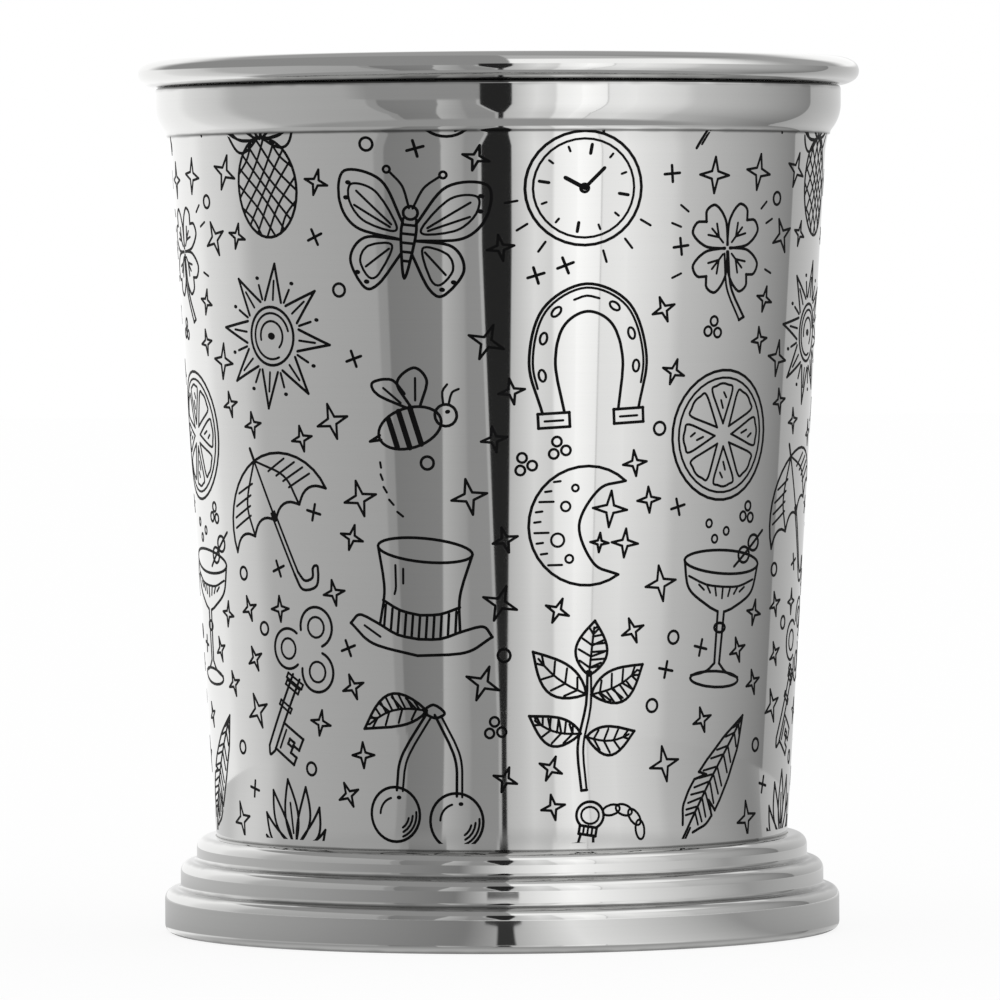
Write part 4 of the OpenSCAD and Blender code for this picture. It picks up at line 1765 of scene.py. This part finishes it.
class JULEPCUP_OT_base_plate(PieceOperator, bpy.types.Operator):
    """Press the plate that closes the foot"""

    bl_idname = "julepcup.base_plate"
    bl_label = "Base Plate"

    def build(self, scene, form):
        finish = scene.julep_cup_finish
        base = tuple(finish.satin)
        material = steel_material(
            "Satin Steel", base, scaled(base, 0.6), finish.satin_rough, lines=0.12, haze=0.08, relief=0.25
        )
        turned("base_plate_pressed", "base_plate", plate_section(form), False, material)


class JULEPCUP_OT_solder(PieceOperator, bpy.types.Operator):
    """Run the four lines of solder"""

    bl_idname = "julepcup.solder"
    bl_label = "Solder"

    def build(self, scene, form):
        half = form.wall_t / 2
        film_head = form.wall_top - half - half * math.sin(math.radians(form.lean))
        lip_z = form.foot_h - FOOT_LIP
        t = form.sheet_t
        outer = form.step_r[2] - t
        inner = outer - PLATE_GAP
        ring = [complex(inner, t), complex(outer, t), complex(outer, 2 * t), complex(inner, 2 * t)]
        sections = {
            "rim_solder": film_section(form, form.neck_r, form.bead_low, film_head),
            "collar_solder": film_section(form, form.neck_r, form.band_low, form.bead_low),
            "foot_solder": film_section(form, form.body_r, lip_z, form.foot_h),
            "plate_solder": ring,
        }
        material = solder_material()
        for node, section in sections.items():
            turned(f"{node}_line", node, section, True, material)


class JULEPCUP_OT_print(PieceOperator, bpy.types.Operator):
    """Print the line drawings round the wall"""

    bl_idname = "julepcup.print"
    bl_label = "Wall Print"

    def build(self, scene, form):
        build_print(form, scene.julep_cup_print)


class JULEPCUP_OT_stage(PieceOperator, bpy.types.Operator):
    """Set up the camera, the table and the studio"""

    bl_idname = "julepcup.stage"
    bl_label = "Stage"

    def build(self, scene, form):
        stage = scene.julep_cup_stage
        data = bpy.data.cameras.new("camera")
        data.lens = stage.lens
        data.sensor_width = 36.0
        camera = bpy.data.objects.new("camera", data)
        drop = stage.camera_h - stage.aim_h
        camera.location = (stage.aside, -stage.away, stage.camera_h)
        camera.rotation_euler = (math.pi / 2 - math.atan2(drop, stage.away), stage.roll, 0)
        scene.collection.objects.link(camera)
        scene.camera = camera

        def table_top(work):
            bmesh.ops.create_circle(work, cap_ends=True, segments=96, radius=stage.floor_r)

        lift = 5 * MM

        def cards(work):
            bmesh.ops.create_cone(
                work, cap_ends=True, segments=128, radius1=stage.tent_r, radius2=stage.tent_r, depth=stage.tent_h - lift
            )
            bmesh.ops.translate(work, verts=work.verts, vec=(0, 0, (stage.tent_h + lift) / 2))
            bottom = [f for f in work.faces if all(v.co.z < lift + 1e-6 for v in f.verts)]
            bmesh.ops.delete(work, geom=bottom, context="FACES")
            bmesh.ops.reverse_faces(work, faces=work.faces)

        floor = stage_object("table_top", table_top, floor_material())
        floor.location.z = -0.02 * MM
        tent = stage_object("card_tent", cards, tent_material(stage.light))
        tent.visible_camera = tent.visible_diffuse = tent.visible_transmission = tent.visible_shadow = False

        scene.world = studio_world()
        scene.view_settings.view_transform = "Standard"


OPERATORS = (
    JULEPCUP_OT_stage,
    JULEPCUP_OT_beaker,
    JULEPCUP_OT_rim_bead,
    JULEPCUP_OT_collar_band,
    JULEPCUP_OT_foot_moulding,
    JULEPCUP_OT_base_plate,
    JULEPCUP_OT_solder,
    JULEPCUP_OT_print,
)
GROUPS = {
    "julep_cup_sizes": JulepCupSizes,
    "julep_cup_print": JulepCupPrint,
    "julep_cup_finish": JulepCupFinish,
    "julep_cup_stage": JulepCupStage,
}


class JULEPCUP_PT_sidebar(bpy.types.Panel):
    """Sizes and steps of the julep cup"""

    bl_idname = "JULEPCUP_PT_sidebar"
    bl_label = "Julep Cup"
    bl_space_type = "VIEW_3D"
    bl_region_type = "UI"
    bl_category = "Julep Cup"

    def draw(self, context):
        steps = self.layout.column(align=True)
        for operator in OPERATORS:
            steps.operator(operator.bl_idname)
        for name, group in GROUPS.items():
            box = self.layout.box()
            for prop in group.__annotations__:
                box.prop(getattr(context.scene, name), prop)


def register():
    for kind in (*GROUPS.values(), *OPERATORS, JULEPCUP_PT_sidebar):
        bpy.utils.register_class(kind)
    for name, group in GROUPS.items():
        setattr(bpy.types.Scene, name, bpy.props.PointerProperty(type=group))


def unregister():
    for name in GROUPS:
        delattr(bpy.types.Scene, name)
    for kind in reversed((*GROUPS.values(), *OPERATORS, JULEPCUP_PT_sidebar)):
        bpy.utils.unregister_class(kind)


def main():
    register()
    for operator in OPERATORS:
        group, name = operator.bl_idname.split(".")
        getattr(getattr(bpy.ops, group), name)()


if __name__ == "__main__":
    main()
